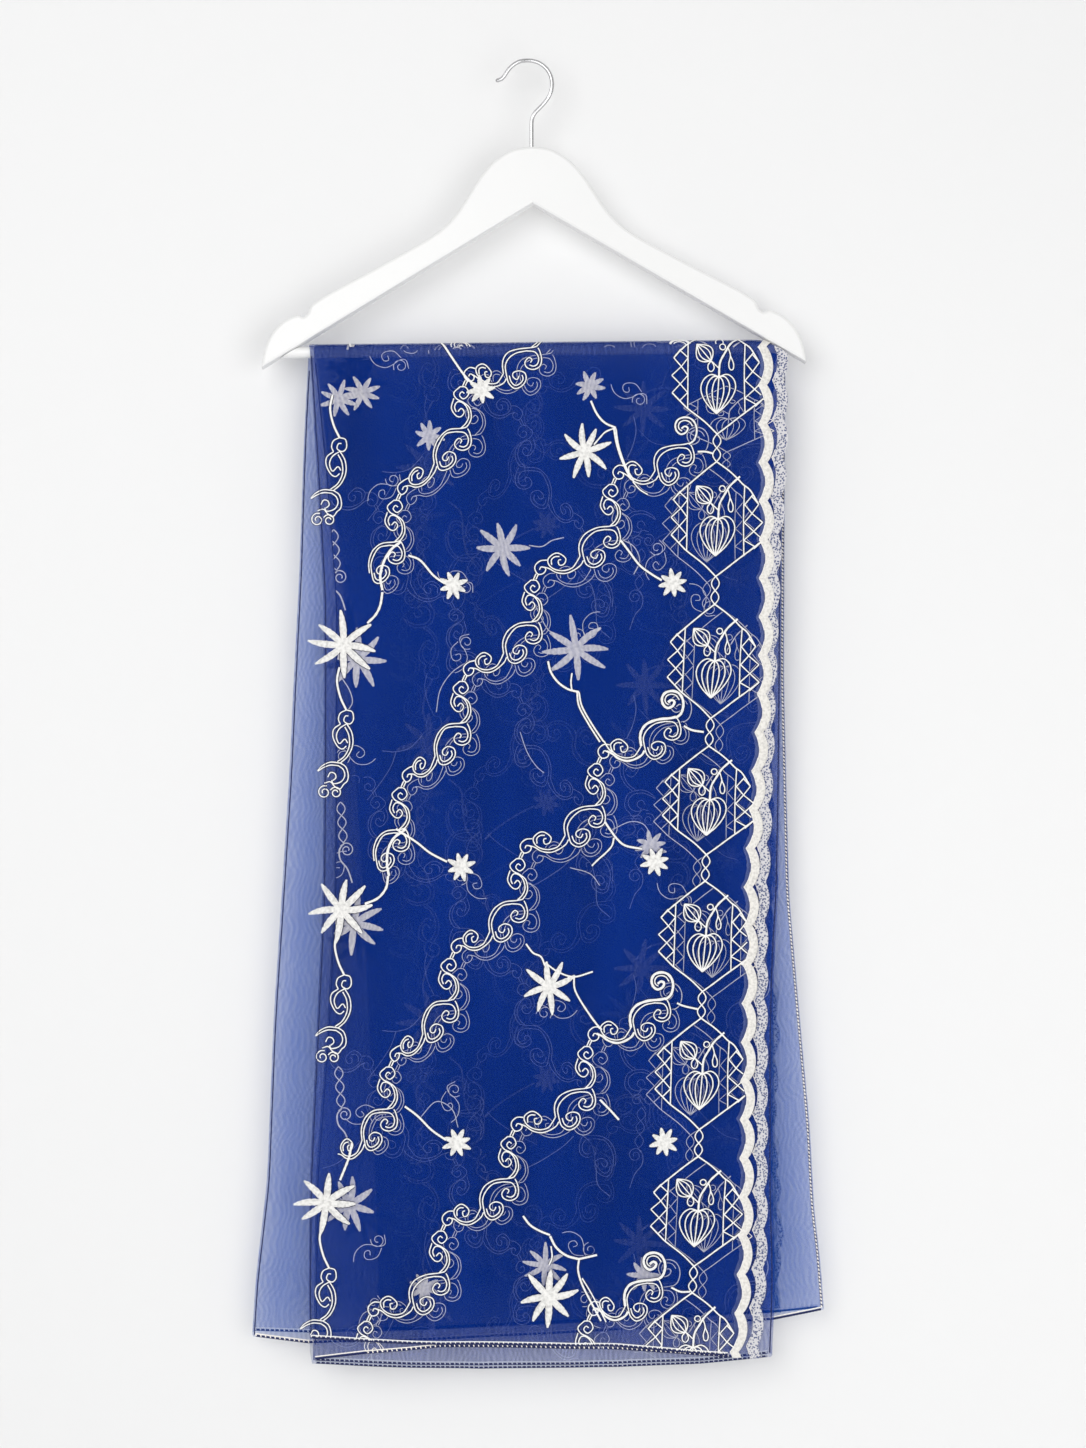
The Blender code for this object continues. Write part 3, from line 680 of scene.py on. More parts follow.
STEMS = [  # thin stems and arms, width factor then places
    (2.0, [(-70.6, -228.4), (-61.6, -242.2), (-51.9, -256.0), (-43.8, -264.1)]),
    (2.0, [(51.2, -277.1), (56.1, -287.6), (62.6, -294.9), (71.5, -299.0)]),
    (1.5, [(71.5, -299.0), (63.4, -302.2), (58.5, -307.1), (53.7, -312.8)]),
    (1.6, [(71.5, -299.8), (73.9, -314.4), (79.6, -330.7), (86.1, -342.0)]),
    (1.6, [(69.9, -299.8), (72.3, -312.8), (77.2, -327.4), (83.7, -341.2)]),
    (1.3, [(85.3, -342.8), (91.0, -349.3), (97.5, -353.4)]),
    (2.0, [(75.6, -390.7), (82.9, -400.5), (91.0, -411.0), (100.7, -418.3), (108.9, -423.2)]),
    (2.0, [(-97.3, -402.9), (-87.6, -407.0), (-77.0, -419.1), (-68.1, -425.6)]),
    (2.4, [(-103.0, -391.5), (-111.1, -398.0), (-116.8, -407.0), (-120.1, -419.1), (-118.4, -431.3)]),
    (2.2, [(-118.4, -432.9), (-120.1, -443.5), (-124.1, -451.6), (-130.6, -458.1)]),
    (2.0, [(16.3, -489.0), (18.7, -497.9), (24.4, -506.0), (32.5, -511.7), (41.5, -514.1)]),
    (1.5, [(35.8, -498.7), (35.0, -506.0), (35.8, -513.3)]),
    (1.6, [(41.5, -514.1), (43.9, -525.5), (52.0, -540.1), (61.8, -554.7)]),
    (1.6, [(39.9, -514.1), (41.5, -525.5), (48.8, -539.3), (58.5, -554.7)]),
    (1.4, [(61.8, -553.9), (65.8, -560.4), (69.1, -562.8)]),
    (2.0, [(62.6, -619.7), (67.5, -627.0), (73.1, -634.3), (79.6, -639.1), (92.6, -641.6)]),
    (1.6, [(69.9, -632.6), (68.3, -639.1), (63.4, -644.8), (56.9, -650.5), (52.0, -655.4)]),
    (2.0, [(-107.1, -625.3), (-90.8, -635.9), (-79.5, -644.8), (-65.7, -652.1)]),
    (2.4, [(-99.0, -625.3), (-108.7, -632.6), (-113.6, -642.4), (-114.4, -653.8), (-112.8, -663.5)]),
    (2.2, [(-113.6, -663.5), (-115.2, -673.2), (-121.7, -681.4), (-132.3, -686.2)]),
    (1.7, [(-1.6, -718.7), (4.1, -726.0), (10.6, -729.2), (13.9, -736.6)]),
    (1.6, [(13.9, -734.1), (24.4, -741.4), (37.4, -745.5), (52.8, -741.4)]),
    (1.7, [(37.4, -745.5), (38.2, -756.0), (44.7, -768.2), (52.0, -778.8), (58.5, -787.7)]),
    (1.5, [(45.5, -769.0), (52.8, -780.4), (60.1, -788.5)]),
    (2.0, [(58.5, -845.3), (66.6, -853.5), (73.9, -861.6)]),
    (2.0, [(-99.8, -850.2), (-89.2, -858.3), (-77.9, -869.7), (-66.5, -877.8)]),
    (2.2, [(-142.8, -880.2), (-145.2, -891.6), (-148.5, -900.5), (-152.5, -910.3)]),
    (2.0, [(-4.0, -939.5), (1.7, -946.8), (9.8, -951.7), (17.9, -954.9)]),
    (2.2, [(17.9, -955.7), (22.8, -964.7), (30.9, -971.2), (41.5, -974.4)]),
    (2.0, [(40.7, -974.4), (48.8, -972.8), (56.1, -971.2)]),
    (1.8, [(41.5, -974.4), (40.7, -983.3), (43.9, -994.7), (51.2, -1009.3), (59.3, -1024.7)]),
    (1.3, [(43.9, -989.8), (50.4, -1000.4), (56.9, -1012.6), (63.4, -1025.6)]),
    (1.4, [(18.7, -963.9), (19.6, -972.8), (17.1, -979.3)]),
    (2.0, [(126.7, -541.7), (133.2, -545.0), (142.9, -546.6)]),
    (1.8, [(138.1, -318.5), (144.6, -318.5), (151.1, -320.1)]),
    (1.8, [(121.0, -766.6), (126.7, -769.0), (138.1, -771.5)]),
    (1.8, [(116.2, -997.1), (123.5, -1000.4), (131.6, -1000.4)]),
]
def run_of(x, z):
    return bar_z(x) - z


def to_run(p):
    return (p[0], bar_z(p[0]) - p[1])


def column(w, at, mirror=1.0, flip=1.0, low=None):
    """Scrolls that join one large star of the column to the next below; `low`
    takes the lower half when that lies on another layer."""
    def lay(points, width=CORD, taper=0.0):
        w.cord([(at[0] + mirror * STEP * dx, at[1] + flip * STEP * dy) for dx, dy in points],
               width * STEP, taper=taper)
    lay([(-4, 22), (-6.4, 36), (-3, 52), (3, 65)], STEM * 1.15)
    lay([(3, 65), (9, 67), (10, 75), (6, 79), (0.6, 76), (2, 71), (5, 71)], CORD)
    lay([(3, 65), (-3, 68), (-5, 74), (-3, 79)], CORD)
    lay([(-3, 79), (-9.6, 84), (-10.4, 92), (-6, 101), (-1, 104), (3, 101)], CORD)
    lay([(3, 79), (-4, 83.6), (-7, 91), (-4, 98.6), (1.4, 94), (4.4, 98)], CORD)
    lay([(3, 78), (8.6, 88), (9.4, 100), (4.6, 111), (-3, 118)], CORD)
    lay([(1.6, 82), (5.4, 90), (6, 101), (1.2, 111), (-6, 116.6)], CORD)
    lay([(-3, 118), (-13, 117), (-21, 120.4), (-26, 125.4)], CORD, 0.3)
    lay([(-5, 120.6), (-13, 120), (-20, 122.4), (-25.6, 126)], CORD)
    lay([(-3, 118), (2.6, 122), (5, 130), (4, 136), (0.6, 139)], CORD)
    lay([(-5, 120.6), (0, 124.6), (1.4, 131), (-2.4, 136.8), (-10, 138.6), (-11.6, 135)], CORD)
    lay([(-15.6, 132), (-13, 127.4), (-8.6, 128.4), (-7.4, 132.6), (-10.6, 135.4)], CORD)
    lay([(0.6, 139), (-3.6, 144), (-9, 141), (-13, 136.6), (-19, 138)], CORD)
    lay(spiral((-19, 147), 6.8, 2.0, -1.2, -1.4), CORD)
    lay(spiral((-7.6, 147.6), 6.0, 2.0, 3.6, 1.4), CORD)
    if low is not None:
        w = low
        at = (at[0] + 9 * STEP, at[1] + 2 * STEP)
    for k in range(3):
        oval(w, (at[0] + mirror * STEP * (-12 + k), at[1] + flip * STEP * (155 + 13.6 * k)),
             (at[0] + mirror * STEP * (-11 + k), at[1] + flip * STEP * (168.6 + 13.6 * k)), 4.2)
    lay(spiral((-5.6, 203), 7.4, 2.0, -2.6, 1.5), CORD)
    lay([(-8, 196), (-13, 203), (-12, 213), (-5, 222), (0, 236)], STEM)


def periodic(w, runs, mirror=1.0, flip=1.0, axis=None, shift=(0.0, 0.0), wide=470.0, seed=3,
             border=True, stars=True):
    """The repeat of the cloth, in (w, run): axis(run) gives the x of the border's
    line, mirror its side, runs the range to fill."""
    rnd = random.Random(seed)
    period = 280.0 * STEP
    lo, hi = runs
    n0, n1 = math.floor(lo / period) - 2, math.ceil(hi / period) + 2
    for n in range(n0, n1):
        base = n * period + shift[1]

        def pt(dx, dy):
            run = base + flip * STEP * dy if flip > 0 else base - STEP * dy
            return (axis(run) + mirror * (STEP * dx + shift[0]), run)

        jig = [(rnd.uniform(-3, 3), rnd.uniform(-3, 3)) for _ in range(12)]
        if border:
            for half in (0, 140):
                cartouche(w, pt(0, half), pt(-2, half + 140), mirror, flip)
        joints = [(-35, 0), (-110, 87), (-188, 181), (-257, 280), (-319, 389)]
        joints = [pt(x + jx, y + jy) for (x, y), (jx, jy) in zip(joints, jig)]
        for k in range(5):
            nxt = joints[k + 1] if k < 4 else (joints[k][0] + mirror * STEP * -62,
                                               joints[k][1] + flip * STEP * 100)
            chain_unit(w, joints[k], nxt, mirror, first=(k == 0), last=(k == 4), thick=(k == 0),
                       flip=flip)
        column(w, pt(-368, 208), mirror, flip)
        w.cord([pt(-103, 107), pt(-92, 120), pt(-76, 135), pt(-60, 141)], STEM * STEP)
        w.cord([pt(-312, 391), pt(-300, 402), pt(-280, 415), pt(-262, 424)], STEM * STEP)
        w.cord([pt(-160, -12), pt(-148, 0), pt(-134, 4), pt(-120, 3)], STEM * STEP)
        w.cord([pt(-134, 4), pt(-128, 20), pt(-116, 38), pt(-105, 52)], STEM * 0.8 * STEP)
        w.cord([pt(-319, 389), pt(-330, 400), pt(-334, 420), pt(-336, 440), pt(-348, 452)],
               STEM * STEP)
        if not stars:
            continue
        star(w, pt(-48 + jig[5][0], 143), 14.0, width=5.6, turn=0.2, core=3.4)
        star(w, pt(-250 + jig[6][0], 148), 14.0, width=5.6, turn=0.5, core=3.4)
        star(w, pt(-153 + jig[7][0], 262 + jig[7][1]), 28.0, width=6.6, turn=-1.6, core=5.4)
        star(w, pt(-368, 208), 32.0, width=7.2, turn=-1.5, core=6.4)


# ----------------------------------------------------------------- materials
def nodes_of(mat):
    mat.use_nodes = True
    nt = mat.node_tree
    nt.nodes.clear()
    out = nt.nodes.new("ShaderNodeOutputMaterial")
    return nt, out


def organza(name, opacity, colour, tint, backlit_colour, weave=0.16):
    mat = bpy.data.materials.new(name)
    nt, out = nodes_of(mat)
    N, L = nt.nodes, nt.links
    p = N.new("ShaderNodeBsdfPrincipled")
    p.inputs["Roughness"].default_value = 0.52
    p.inputs["Specular IOR Level"].default_value = 0.04
    p.inputs["Sheen Weight"].default_value = 0.004
    p.inputs["Sheen Roughness"].default_value = 0.4
    p.inputs["Sheen Tint"].default_value = (0.35, 0.5, 1.0, 1.0)
    uv = N.new("ShaderNodeUVMap")
    uv.uv_map = "UVMap"
    # painted sheen and wrinkle shade: the colour is a little lighter and darker along the cloth
    noise = N.new("ShaderNodeTexNoise")
    noise.inputs["Scale"].default_value = 9.0
    noise.inputs["Detail"].default_value = 1.0
    # in long soft streaks down the drop
    drawn = N.new("ShaderNodeMapping")
    drawn.inputs["Scale"].default_value = (2.2, 0.4, 1.0)
    L.new(uv.outputs["UV"], drawn.inputs["Vector"])
    L.new(drawn.outputs["Vector"], noise.inputs["Vector"])
    ramp = N.new("ShaderNodeValToRGB")
    ramp.color_ramp.elements[0].position = 0.3
    ramp.color_ramp.elements[0].color = (*[c * 0.78 for c in colour], 1)
    ramp.color_ramp.elements[1].position = 0.75
    ramp.color_ramp.elements[1].color = (*[min(1, c * 1.24 + 0.002) for c in colour], 1)
    L.new(noise.outputs["Fac"], ramp.inputs["Fac"])
    # painted backlight: where the mesh attribute lit is 1, on the strips of the back drop past the front one, the
    # colour is mixed toward the lighter backlit colour
    lit = N.new("ShaderNodeAttribute")
    lit.attribute_name = "lit"
    shade = N.new("ShaderNodeMix")
    shade.data_type = "RGBA"
    for k in shade.inputs:
        if k.type == "RGBA" and k.name == "B":
            k.default_value = (*backlit_colour, 1)
    L.new(lit.outputs["Fac"], shade.inputs[0])
    L.new(ramp.outputs["Color"], [k for k in shade.inputs if k.type == "RGBA" and k.name == "A"][0])
    L.new([k for k in shade.outputs if k.type == "RGBA"][0], p.inputs["Base Color"])
    # open plain weave: fine warp and weft, a little stronger where threads bunch
    wx = N.new("ShaderNodeTexWave")
    wx.wave_type, wx.bands_direction = "BANDS", "X"
    wx.inputs["Scale"].default_value = 950.0
    wx.inputs["Distortion"].default_value = 0.0
    wz = N.new("ShaderNodeTexWave")
    wz.wave_type, wz.bands_direction = "BANDS", "Y"
    wz.inputs["Scale"].default_value = 950.0
    wz.inputs["Distortion"].default_value = 0.0
    L.new(uv.outputs["UV"], wx.inputs["Vector"])
    L.new(uv.outputs["UV"], wz.inputs["Vector"])
    add = N.new("ShaderNodeMath")
    add.operation = "ADD"
    L.new(wx.outputs["Fac"], add.inputs[0])
    L.new(wz.outputs["Fac"], add.inputs[1])
    bump = N.new("ShaderNodeBump")
    bump.inputs["Strength"].default_value = 0.25
    bump.inputs["Distance"].default_value = 0.0002
    L.new(add.outputs[0], bump.inputs["Height"])
    L.new(bump.outputs["Normal"], p.inputs["Normal"])
    # uneven density of the sheer cloth, as where threads crowd
    big = N.new("ShaderNodeTexNoise")
    big.inputs["Scale"].default_value = 26.0
    big.inputs["Detail"].default_value = 3.0
    big.inputs["Roughness"].default_value = 0.6
    L.new(uv.outputs["UV"], big.inputs["Vector"])
    mr = N.new("ShaderNodeMapRange")
    mr.inputs["From Min"].default_value = 0.3
    mr.inputs["From Max"].default_value = 0.7
    mr.inputs["To Min"].default_value = opacity * (1 - weave)
    mr.inputs["To Max"].default_value = opacity * (1 + weave)
    # watered lines where two sheer layers beat against each other
    moire = N.new("ShaderNodeTexWave")
    moire.wave_type, moire.bands_direction = "BANDS", "X"
    moire.inputs["Scale"].default_value = 78.0
    moire.inputs["Distortion"].default_value = 17.0
    moire.inputs["Detail"].default_value = 1.0
    moire.inputs["Detail Scale"].default_value = 0.45
    L.new(uv.outputs["UV"], moire.inputs["Vector"])
    both = N.new("ShaderNodeMix")
    both.inputs["Factor"].default_value = 0.5
    L.new(big.outputs["Fac"], both.inputs["A"])
    L.new(moire.outputs["Fac"], both.inputs["B"])
    L.new(both.outputs["Result"], mr.inputs["Value"])
    tr = N.new("ShaderNodeBsdfTransparent")
    tr.inputs["Color"].default_value = (*tint, 1)
    mix = N.new("ShaderNodeMixShader")
    L.new(mr.outputs["Result"], mix.inputs["Fac"])
    L.new(tr.outputs[0], mix.inputs[1])
    L.new(p.outputs[0], mix.inputs[2])
    L.new(mix.outputs[0], out.inputs["Surface"])
    return mat


def thread(name, colour, rough=0.62, scale=900.0, bump_by=0.5, sheen=0.3, low=0.86):
    mat = bpy.data.materials.new(name)
    nt, out = nodes_of(mat)
    N, L = nt.nodes, nt.links
    p = N.new("ShaderNodeBsdfPrincipled")
    p.inputs["Roughness"].default_value = rough
    p.inputs["Specular IOR Level"].default_value = 0.3
    p.inputs["Sheen Weight"].default_value = sheen
    p.inputs["Sheen Roughness"].default_value = 0.4
    tc = N.new("ShaderNodeTexCoord")
    noise = N.new("ShaderNodeTexNoise")
    noise.inputs["Scale"].default_value = scale
    noise.inputs["Detail"].default_value = 2.0
    L.new(tc.outputs["Object"], noise.inputs["Vector"])
    ramp = N.new("ShaderNodeValToRGB")
    ramp.color_ramp.elements[0].position = 0.25
    ramp.color_ramp.elements[0].color = (*[c * low for c in colour], 1)
    ramp.color_ramp.elements[1].position = 0.6
    ramp.color_ramp.elements[1].color = (*colour, 1)
    L.new(noise.outputs["Fac"], ramp.inputs["Fac"])
    L.new(ramp.outputs["Color"], p.inputs["Base Color"])
    bump = N.new("ShaderNodeBump")
    bump.inputs["Strength"].default_value = bump_by
    bump.inputs["Distance"].default_value = 0.0003
    L.new(noise.outputs["Fac"], bump.inputs["Height"])
    L.new(bump.outputs["Normal"], p.inputs["Normal"])
    L.new(p.outputs[0], out.inputs["Surface"])
    return mat


def netted(name, colour, hole, cover=0.9, scale=620.0):
    """Strip seen from its reverse: greyish net with dark holes between knots."""
    mat = bpy.data.materials.new(name)
    nt, out = nodes_of(mat)
    N, L = nt.nodes, nt.links
    p = N.new("ShaderNodeBsdfPrincipled")
    p.inputs["Roughness"].default_value = 0.7
    p.inputs["Specular IOR Level"].default_value = 0.2
    tc = N.new("ShaderNodeTexCoord")
    vor = N.new("ShaderNodeTexVoronoi")
    vor.inputs["Scale"].default_value = scale
    L.new(tc.outputs["Object"], vor.inputs["Vector"])
    ramp = N.new("ShaderNodeValToRGB")
    ramp.color_ramp.elements[0].position = 0.34
    ramp.color_ramp.elements[0].color = (*hole, 1)
    ramp.color_ramp.elements[1].position = 0.52
    ramp.color_ramp.elements[1].color = (*colour, 1)
    L.new(vor.outputs["Distance"], ramp.inputs["Fac"])
    L.new(ramp.outputs["Color"], p.inputs["Base Color"])
    bump = N.new("ShaderNodeBump")
    bump.inputs["Strength"].default_value = 0.5
    bump.inputs["Distance"].default_value = 0.0003
    L.new(vor.outputs["Distance"], bump.inputs["Height"])
    L.new(bump.outputs["Normal"], p.inputs["Normal"])
    tr = N.new("ShaderNodeBsdfTransparent")
    mix = N.new("ShaderNodeMixShader")
    mix.inputs["Fac"].default_value = cover
    L.new(tr.outputs[0], mix.inputs[1])
    L.new(p.outputs[0], mix.inputs[2])
    L.new(mix.outputs[0], out.inputs["Surface"])
    return mat


def shade_mat(name, colour, cover):
    """Dark band close beside a stitched cord, deeper in tone: painted shadow of the raised cord, partly puckered
    cloth.
    """
    mat = bpy.data.materials.new(name)
    nt, out = nodes_of(mat)
    N, L = nt.nodes, nt.links
    p = N.new("ShaderNodeBsdfPrincipled")
    p.inputs["Base Color"].default_value = (*colour, 1)
    p.inputs["Roughness"].default_value = 0.8
    p.inputs["Specular IOR Level"].default_value = 0.05
    tr = N.new("ShaderNodeBsdfTransparent")
    mix = N.new("ShaderNodeMixShader")
    mix.inputs["Fac"].default_value = cover
    L.new(tr.outputs[0], mix.inputs[1])
    L.new(p.outputs[0], mix.inputs[2])
    L.new(mix.outputs[0], out.inputs["Surface"])
    return mat


def paint(name, colour=(0.785, 0.785, 0.78), rough=0.33):
    mat = bpy.data.materials.new(name)
    nt, out = nodes_of(mat)
    N, L = nt.nodes, nt.links
    p = N.new("ShaderNodeBsdfPrincipled")
    p.inputs["Coat Weight"].default_value = 0.25
    p.inputs["Coat Roughness"].default_value = 0.2
    tc = N.new("ShaderNodeTexCoord")
    noise = N.new("ShaderNodeTexNoise")
    noise.inputs["Scale"].default_value = 34.0
    noise.inputs["Detail"].default_value = 5.0
    L.new(tc.outputs["Object"], noise.inputs["Vector"])
    mr = N.new("ShaderNodeMapRange")
    mr.inputs["To Min"].default_value = rough - 0.05
    mr.inputs["To Max"].default_value = rough + 0.08
    L.new(noise.outputs["Fac"], mr.inputs["Value"])
    L.new(mr.outputs["Result"], p.inputs["Roughness"])
    ramp = N.new("ShaderNodeValToRGB")
    ramp.color_ramp.elements[0].color = (*[c * 0.985 for c in colour], 1)
    ramp.color_ramp.elements[1].color = (*colour, 1)
    L.new(noise.outputs["Fac"], ramp.inputs["Fac"])
    L.new(ramp.outputs["Color"], p.inputs["Base Color"])
    # faint brushed grain along the wood
    mp = N.new("ShaderNodeMapping")
    mp.inputs["Scale"].default_value = (30.0, 400.0, 400.0)
    L.new(tc.outputs["Object"], mp.inputs["Vector"])
    fine = N.new("ShaderNodeTexNoise")
    fine.inputs["Scale"].default_value = 1.0
    fine.inputs["Detail"].default_value = 3.0
    L.new(mp.outputs[0], fine.inputs["Vector"])
    bump = N.new("ShaderNodeBump")
    bump.inputs["Strength"].default_value = 0.08
    bump.inputs["Distance"].default_value = 0.0003
    L.new(fine.outputs["Fac"], bump.inputs["Height"])
    L.new(bump.outputs["Normal"], p.inputs["Normal"])
    L.new(p.outputs[0], out.inputs["Surface"])
    return mat


def steel(name):
    mat = bpy.data.materials.new(name)
    nt, out = nodes_of(mat)
    N, L = nt.nodes, nt.links
    p = N.new("ShaderNodeBsdfPrincipled")
    p.inputs["Metallic"].default_value = 1.0
    tc = N.new("ShaderNodeTexCoord")
    noise = N.new("ShaderNodeTexNoise")
    noise.inputs["Scale"].default_value = 260.0
    noise.inputs["Detail"].default_value = 3.0
    L.new(tc.outputs["Object"], noise.inputs["Vector"])
    mr = N.new("ShaderNodeMapRange")
    mr.inputs["To Min"].default_value = 0.16
    mr.inputs["To Max"].default_value = 0.30
    L.new(noise.outputs["Fac"], mr.inputs["Value"])
    L.new(mr.outputs["Result"], p.inputs["Roughness"])
    ramp = N.new("ShaderNodeValToRGB")
    ramp.color_ramp.elements[0].color = (0.50, 0.50, 0.51, 1)
    ramp.color_ramp.elements[1].color = (0.66, 0.66, 0.67, 1)
    L.new(noise.outputs["Fac"], ramp.inputs["Fac"])
    L.new(ramp.outputs["Color"], p.inputs["Base Color"])
    L.new(p.outputs[0], out.inputs["Surface"])
    return mat


# ------------------------------------------------------------------ the sheet
def build_stole(mat):
    """The folded sheet as one surface: edge A, layer 1, outer left fold, layer 4,
    right fold, layer 3, inner left fold, layer 2, edge B."""
    per_drop, arc_rows, cols = 84, 14, 34
    fold_cols = 3

    # rows: share along the drop, front hem to the bar, the arc, then the back hem
    rows = [("f", 1 - k / per_drop) for k in range(per_drop)]
    rows += [("a", k / arc_rows) for k in range(arc_rows + 1)]
    rows += [("k", (k + 1) / per_drop) for k in range(per_drop)]

    order = [(1, +1), (4, -1), (3, +1), (2, -1)]    # layer, +1 walked right to left
    grid, uv = [], []
    for kind, share in rows:
        line, coords = [], []
        walked = 0.0
        for layer, way in order:
            us = np.linspace(1, 0, cols + 1) if way > 0 else np.linspace(0, 1, cols + 1)
            lf, rf, hf = FRONT[layer]
            lk, rk, hk = BACK[layer]
            if kind == "a":
                xf = lf(-236.0) + (rf(-236.0) - lf(-236.0)) * us
                xk = lk(-236.0) + (rk(-236.0) - lk(-236.0)) * us
                x = xf + (xk - xf) * share
                run = -share * arc_len(layer)
                pos, _ = surface(layer, x, np.full_like(x, run))
            else:
                l, r, h = (lf, rf, hf) if kind == "f" else (lk, rk, hk)
                x_low = l(-1045.0) + (r(-1045.0) - l(-1045.0)) * us
                x_top = l(-236.0) + (r(-236.0) - l(-236.0)) * us
                z_low = h(x_low)
                zt = bar_z(x_top)
                z = zt + (z_low - zt) * share
                x = l(z) + (r(z) - l(z)) * us
                z = np.minimum(z, under_z(x) - 0.9)
                y = front_y(layer, x, z) if kind == "f" else back_y(layer, x, z)
                pos = np.stack([x, y, z], -1)
            width = 365.0
            w0 = walked + np.linspace(0, width, cols + 1)
            length = (share * 815.0 if kind == "f"
                      else (-share * 21.0 if kind == "a" else -21.0 - share * 805.0))
            co = np.stack([w0 * MM, np.full(cols + 1, length) * MM], -1)
            line.append(pos)
            coords.append(co)
            walked += width
        # rounded folds between neighbouring stretches
        full, fuv = [line[0]], [coords[0]]
        for k in range(3):
            a, b = line[k][-1], line[k + 1][0]
            mid = (a + b) / 2
            rad = np.linalg.norm(a - b) / 2
            out = -1.0 if order[k][1] > 0 else 1.0
            reach = min(max(rad, 0.25), 1.2)
            pts = []
            for j in range(1, fold_cols + 1):
                t = j / (fold_cols + 1)
                p = a + (b - a) * t
                p = p + np.array([out * reach * math.sin(math.pi * t), 0, 0])
                pts.append(p)
            full.append(np.array(pts))
            t = np.linspace(0, 1, fold_cols + 2)[1:-1][:, None]
            fuv.append(coords[k][-1] + (coords[k + 1][0] - coords[k][-1]) * t)
            full.append(line[k + 1])
            fuv.append(coords[k + 1])
        grid.append(np.concatenate(full))
        uv.append(np.concatenate(fuv))
    g = np.array(grid)
    u = np.array(uv)
    rows_n, cols_n = g.shape[:2]
    i, j = np.meshgrid(np.arange(rows_n - 1), np.arange(cols_n - 1), indexing="ij")
    a = (i * cols_n + j).ravel()
    faces = np.stack([a, a + 1, a + cols_n + 1, a + cols_n], -1).tolist()
    obj = mesh_object("stole", g.reshape(-1, 3), faces, mat, uvs=u.reshape(-1, 2))
    # painted backlight: where the back drop stands out past the front one, its colour is
    # lifted as if light came through it from behind
    flat = g.reshape(-1, 3)
    x, y, z = flat[:, 0], flat[:, 1], flat[:, 2]
    past = np.maximum(left_1(z) + 12.0 - x, x - right_f(z) + 12.0)
    lit = np.where(y > 0, np.clip(past / 8.0, 0, 1), 0.0)
    clear = obj.data.attributes.new("lit", "FLOAT", "POINT")
    clear.data.foreach_set("value", lit)
    return obj


# -------------------------------------------------------------- scalloped trim
def scallop(run, pitch, phase, bulge):
    share = ((run + phase) / pitch) % 1.0
    return bulge * (abs(math.sin(math.pi * share)) ** 0.72)


def build_trim(name, layer, centre_f, centre_k, hem_f, hem_k, mats, pitch=31.4, width=7.2,
               bulge=5.4, phase=0.0, back_width=4.4):
    """Dense wavy strip along one long edge, from hem over the bar to hem: both its
    sides bow out in scallops, with cusps toward the cloth."""
    per = 14
    x_f = float(centre_f(-236.0))
    x_k = float(centre_k(-236.0))
    run_f = bar_z(float(centre_f(-1045.0))) - float(hem_f(float(centre_f(-1045.0)))) + 1.0
    run_k = -(bar_z(float(centre_k(-1045.0))) - float(hem_k(float(centre_k(-1045.0))))
              + arc_len(layer) + 1.0)
    n = int((run_f - run_k) / pitch * per)
    runs = np.linspace(run_f, run_k, n + 1)
    verts, kinds = [], []
    cross = [(0.0, 0.10), (0.08, 0.42), (0.5, 0.55), (0.92, 0.42), (1.0, 0.08)]
    crinkle = 0.0
    for r in runs:
        if r >= 0:
            c = float(centre_f(bar_z(x_f) - r))
            wide, crinkle = width, 0.0
        elif r <= -arc_len(layer):
            c = float(centre_k(bar_z(x_k) + r + arc_len(layer)))
            down = -r - arc_len(layer)
            f = ease(down / 60.0)
            wide = width + (back_width - width) * f
            crinkle = f * (1.9 * math.sin(r / 23.0 + layer) + 1.3 * math.sin(r / 9.7 + 2 * layer))
        else:
            t = -r / arc_len(layer)
            c = x_f + (x_k - x_f) * t
            wide, crinkle = width, 0.0
        b = scallop(r, pitch, phase, bulge)
        x0 = c - width / 2 - bulge * 0.42 + b + crinkle
        x1 = x0 + wide
        kinds.append(r)
        for k, h in cross:
            x = x0 + (x1 - x0) * k + 0.12 * math.sin(r * 2.7 + k * 5)
            pos, nrm = surface(layer, np.array([x]), np.array([r]))
            verts.append((pos + nrm * (h + 0.12))[0])
    m = len(cross)
    faces = []
    for i in range(len(runs) - 1):
        for k in range(m - 1):
            a = i * m + k
            faces.append((a, a + 1, a + m + 1, a + m))
    obj = mesh_object(name, np.array(verts), faces, mats)
    if isinstance(mats, (list, tuple)) and len(mats) > 1:
        slots = []
        for i in range(len(runs) - 1):
            slots += [1 if kinds[i] < -arc_len(layer) - 20 else 0] * (m - 1)
        obj.data.polygons.foreach_set("material_index", slots)
    return obj


def trim_cord(w, centre, pitch, phase, width, bulge, runs, thick=0.9):
    """Corded outlines along the strip's two sides."""
    rs = np.arange(runs[0], runs[1], 1.5)
    for off in (0.0, width):
        pts = [(centre(r) - width / 2 - bulge * 0.42 + scallop(r, pitch, phase, bulge) + off, r)
               for r in rs]
        w.cord(pts, thick, curve=False)


def overlock(w, hem, x0, x1, side, step=1.3, drop=2.6):
    """Overlocked raw end: a blue rolled edge, close white stitches over it and a
    chain line above."""
    xs = np.arange(x0, x1, step)
    z = hem(xs)
    if side > 0:
        run = bar_z(xs) - z
        sgn = 1.0
    else:
        run = -(bar_z(xs) - z) - arc_len(w.layer)
        sgn = -1.0
    w.slot = 2
    w.cord(np.stack([xs, run - 0.9 * sgn], -1), 1.7, curve=False)
    w.slot = 0
    near = 0.10 * math.copysign(1.0, w.lift)
    w.lift += near
    w.cord(np.stack([xs, run - drop * sgn], -1), 0.85, curve=False)
    for k in range(0, len(xs), 3):
        w.cord([(xs[k] + 0.5, run[k] - 0.55 * sgn), (xs[k], run[k] - (drop - 0.1) * sgn)], 0.95,
               curve=False)
    w.lift -= near


